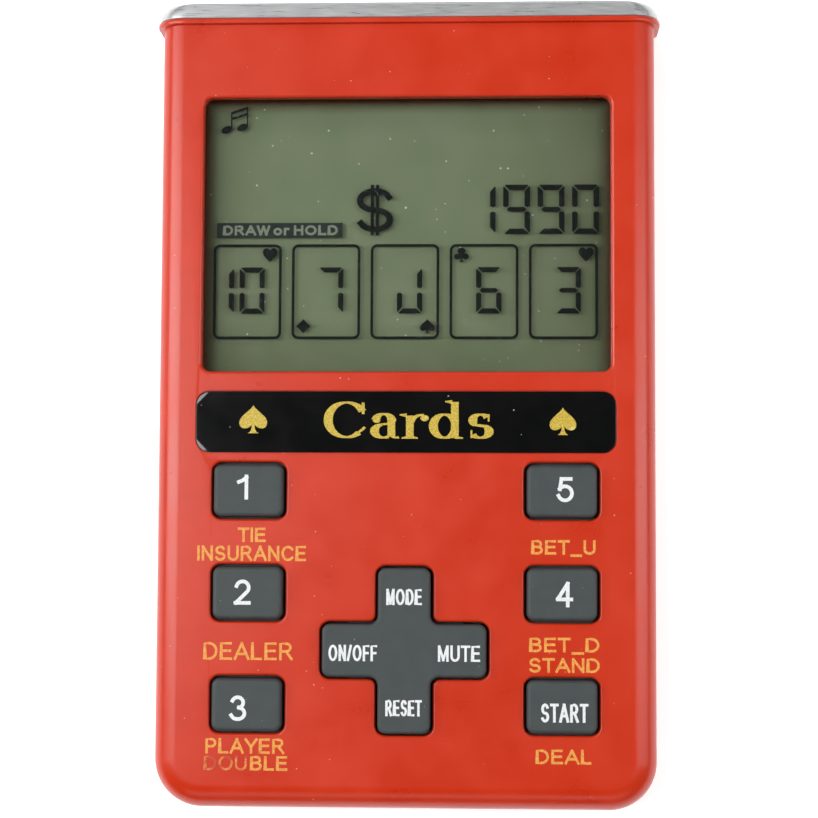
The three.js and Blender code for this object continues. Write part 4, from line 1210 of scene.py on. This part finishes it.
def figure(sign, left, low, right, high, stroke):
    return [segment(kind, left, low, right, high, stroke) for kind in SEGMENTS[sign]]


# The score is set from its right end. A card's figures are set from the card's middle.
SCORE_RIGHT, SCORE_PITCH, SCORE_WIDE, SCORE_LOW, SCORE_TALL = 24.25, 4.35, 3.4, 21.4, 6.3
CARD_MIDDLE, CARD_PITCH, CARD_Y = -0.25, 10.0, 14.1
FIGURE_SHIFT, FIGURE_PITCH, FIGURE_WIDE, FIGURE_LOW, FIGURE_TALL = 0.6, 3.9, 3.2, 11.3, 5.9
cards = [CARD_MIDDLE + CARD_PITCH * place for place in (-2, -1, 0, 1, 2)]
bars = []
for place, sign in enumerate(reversed("1990")):
    right = SCORE_RIGHT - SCORE_PITCH * place
    bars += figure(sign, right - SCORE_WIDE, SCORE_LOW, right, SCORE_LOW + SCORE_TALL, 0.70)
for card, signs in zip(cards, ("10", "7", "J", "6", "3")):
    for place, sign in enumerate(reversed(signs)):
        left = card + FIGURE_SHIFT - FIGURE_PITCH * place - FIGURE_WIDE / 2
        bars += figure(sign, left, FIGURE_LOW, left + FIGURE_WIDE, FIGURE_LOW + FIGURE_TALL, 0.66)
stamped("lcd_figures", bars, lcd_dark, SEGMENT_Z)

# %% Card frames and suits
def card_frames():
    bm = bmesh.new()
    for card in cards:
        outline = partial(rounded, 8.7, 12.1, 0.85, card, CARD_Y)
        fill(bm, ring(bm, lift(outline(), 0)), ring(bm, lift(outline(grow=-0.35), 0)))
    thicken(bm, SEGMENT_Z, INK)
    return bm


new_piece("lcd_cards", card_frames(), lcd_dark, "case", sharp=30)
# Each suit sign stands in a corner of its card: 1 is right or top, -1 is left or bottom.
SUIT_X, SUIT_HIGH, SUIT_DEEP, SUIT_SIZE = 2.85, 4.65, -4.4, 1.85
CORNERS = ((HEART, 1, 1), (DIAMOND, -1, -1), (SPADE, 1, -1), (CLUB, -1, 1), (HEART, 1, 1))
signs = []
for card, (half, side, end) in zip(cards, CORNERS):
    suit_y = CARD_Y + (SUIT_HIGH if end > 0 else SUIT_DEEP)
    signs.append(suit(half, card + side * SUIT_X, suit_y, SUIT_SIZE, SUIT_SIZE))
stamped("lcd_suits", signs, lcd_dark, SEGMENT_Z)


# %% Note, sum sign and the message bar
def note(left, low, size):
    def at(points):
        return [(left + u * size, low + v * size) for u, v in points]
    heads = [bow(u, v, 0.19, 0.13, 0, 345, 23) for u, v in ((0.22, 0.17), (0.78, 0.25))]
    heads = [[(x, y + 0.25 * (x - head[6][0])) for x, y in head] for head in heads]
    stems = [[(0.37, 0.18), (0.42, 0.18), (0.42, 0.8), (0.37, 0.8)],
             [(0.93, 0.26), (0.98, 0.26), (0.98, 1.0), (0.93, 1.0)]]
    beams = [[(0.42, v), (0.93, v + 0.17), (0.93, v + 0.26), (0.42, v + 0.09)] for v in (0.73, 0.52)]
    return [at(shape) for shape in heads + stems + beams]


def sum_sign(x, y, wide, tall):
    spine = bow(x, y + tall * 0.19, wide * 0.43, tall * 0.19, 20, 262) + bow(x, y - tall * 0.19, wide * 0.43,
                                                                             tall * 0.19, 82, -160)
    posts = [[(x + s - 0.21, y - tall / 2), (x + s + 0.21, y - tall / 2), (x + s + 0.21, y + tall / 2),
              (x + s - 0.21, y + tall / 2)]
             for s in (-0.33, 0.33)]
    return [pen(spine, 0.36, 0.42)] + posts


stamped("lcd_note", note(-23.9, 34.3, 3.6), lcd_dark, SEGMENT_Z)
stamped("lcd_sum_sign", sum_sign(-4.1, 24.5, 4.4, 6.5), lcd_dark, SEGMENT_Z)
bar = [[(-24.2, 21.0), (-8.2, 21.0), (-8.2, 22.9), (-24.2, 22.9)]]
stamped("lcd_bar", bar, lcd_bar, SEGMENT_Z, 0.008)
message = [(word, left, 21.3, right, 22.6)
           for word, left, right in (("DRAW", -23.4, -17.4), ("or", -17.0, -15.0), ("HOLD", -14.4, -8.8))]
printed("lcd_message", message, lcd_letters, "case", SEGMENT_Z + 0.004, 0.30)

# %% [markdown]
# ## Battery door and screws
# The door slides towards the foot of the case and lifts out. It is a thin slab with finger grooves
# and four tabs. The screws are turned shapes with a cross cut into the head: only the heads show, in
# their pits, but the shanks are there too, since the part may be taken apart.

# %% Build the battery door
def battery_door():
    bm = bmesh.new()
    door = partial(rounded, 28.0, 16.0, 1.0, 0, -11.0)
    levels = [(0.0, 0.95)] + [(-inward, 0.15 + down) for inward, down in rounding(0.12, 3)]
    rings = loft(bm, [lift(door(grow=grow), z) for grow, z in levels])
    grooves = [opening(bm, partial(rounded, 10.0, 0.55, 0.27, 0, -16.7 + 1.1 * k, steps=4), 0.15, 0.4, 0.1,
                       -1, 3)
               for k in range(5)]
    for _, floor in grooves:
        fill(bm, floor)
    fill(bm, rings[0])
    fill(bm, rings[-1], *[mouth for mouth, _ in grooves])
    door_mesh = mesh_of(bm)
    tabs = bmesh.new()
    for side in (-1, 1):
        for y in (-6.0, -14.0):
            near, far = sorted((side * 13.5, side * 14.6))
            add_block(tabs, (near, y - 1.2, 0.55), (far, y + 1.2, 0.94))
    return carve(door_mesh, mesh_of(tabs), "UNION")


adopt("sliding_door", battery_door(), case_red, "door", "battery_door")

# %% Metals
steel_worn = finish_of("steel_worn", (0.42, 0.43, 0.44), (0.60, 0.60, 0.60), (0.22, 0.42), 1800, 0.15,
                       (1500, 0.05, 0.12), 0.6, metal=1.0, pale=(0.3, 0.28, 0.25))
brass_dull = finish_of("brass_dull", (0.50, 0.34, 0.12), (0.66, 0.47, 0.18), (0.25, 0.45), 900, 0.15,
                       metal=1.0)


# %% Build the case screws
def case_screw(x, y):
    bm = bmesh.new()
    head = [(0.05, 0.35), (0.7, 0.35), (1.25, 0.42), (1.5, 0.6), (1.6, 0.85), (1.6, 1.45), (0.85, 1.45)]
    thread = [(0.85 if step % 2 else 0.66, 1.9 + 0.22 * step) for step in range(20)]
    add_turned(bm, head + thread + [(0.3, 6.6), (0.05, 6.8)], x, y)
    cross_cut = bmesh.new()
    add_block(cross_cut, (x - 0.9, y - 0.19, -0.5), (x + 0.9, y + 0.19, 0.9))
    other = bmesh.new()
    add_block(other, (x - 0.19, y - 0.9, -0.5), (x + 0.19, y + 0.9, 0.9))
    return carve(carve(mesh_of(bm), mesh_of(cross_cut)), mesh_of(other))


for number, (x, y) in enumerate(SCREWS, 1):
    adopt(f"screw_{number}", case_screw(x, y), steel_worn, "case", f"case_screw_{number}")

# %% [markdown]
# ## Finishes for the parts inside
# The display layers, the board and what sits on it keep their CAD meshes: their shapes are plain and
# right. They only need their own finishes, which replace the material in each object's slot.

# %% Finishes inside
board_green = finish_of("board_green", (0.010, 0.075, 0.030), (0.020, 0.120, 0.050), (0.25, 0.4), 260, 0.1,
                        (700, 0.05, 0.1), pale=(0.55, 0.5, 0.3))
cream_plastic = finish_of("cream_plastic", (0.66, 0.62, 0.50), (0.76, 0.73, 0.62), (0.45, 0.6), 300, 0.1)
resin_black = finish_of("resin_black", (0.006, 0.006, 0.006), (0.014, 0.014, 0.014), (0.15, 0.35), 350, 0.6)
carbon_pill = finish_of("carbon_pill", (0.010, 0.010, 0.011), (0.022, 0.022, 0.024), (0.7, 0.9), 1500, 0.3)
mat_rubber = finish_of("mat_rubber", (0.10, 0.11, 0.11), (0.14, 0.15, 0.15), (0.6, 0.75), 500, 0.2)
tape_black = finish_of("tape_black", (0.008, 0.008, 0.008), (0.016, 0.016, 0.016), (0.6, 0.8), 700, 0.2)
zebra_rubber = finish_of("zebra_rubber", (0.30, 0.30, 0.28), (0.62, 0.60, 0.52), (0.5, 0.7), 4000, 0.2)
wire_red = finish_of("wire_red", (0.45, 0.02, 0.015), (0.60, 0.04, 0.02), (0.35, 0.5), 1200, 0.1)
wire_black = finish_of("wire_black", (0.010, 0.010, 0.010), (0.022, 0.022, 0.022), (0.35, 0.5), 1200, 0.1)
INSIDE = {
    "display_lens": lens_clear, "lcd_front_glass": glass_clear, "lcd_rear_glass": glass_clear,
    "lcd_reflector": lcd_ground, "lcd_frame": cream_plastic, "lens_tape": tape_black,
    "zebra_strip": zebra_rubber, "keypad_mat": mat_rubber, "cross_pivot": mat_rubber,
    "main_board": board_green, "chip_blob": resin_black, "capacitor": brass_dull, "crystal": steel_worn,
    "buzzer_disc": brass_dull, "buzzer_ceramic": cream_plastic, "buzzer_lead_red": wire_red,
    "buzzer_lead_black": wire_black, "battery_cell_1": steel_worn, "battery_cell_2": steel_worn,
    "contact_positive": steel_worn, "contact_negative": steel_worn, "contact_bridge": steel_worn,
}
INSIDE |= {f"board_screw_{number}": steel_worn for number in range(1, 5)}
INSIDE |= {name: carbon_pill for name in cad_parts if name.startswith("pill_")}
for name, material in INSIDE.items():
    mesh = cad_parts[name].data
    mesh.materials.clear()
    mesh.materials.append(material)
print("finished CAD nodes:", len(INSIDE))
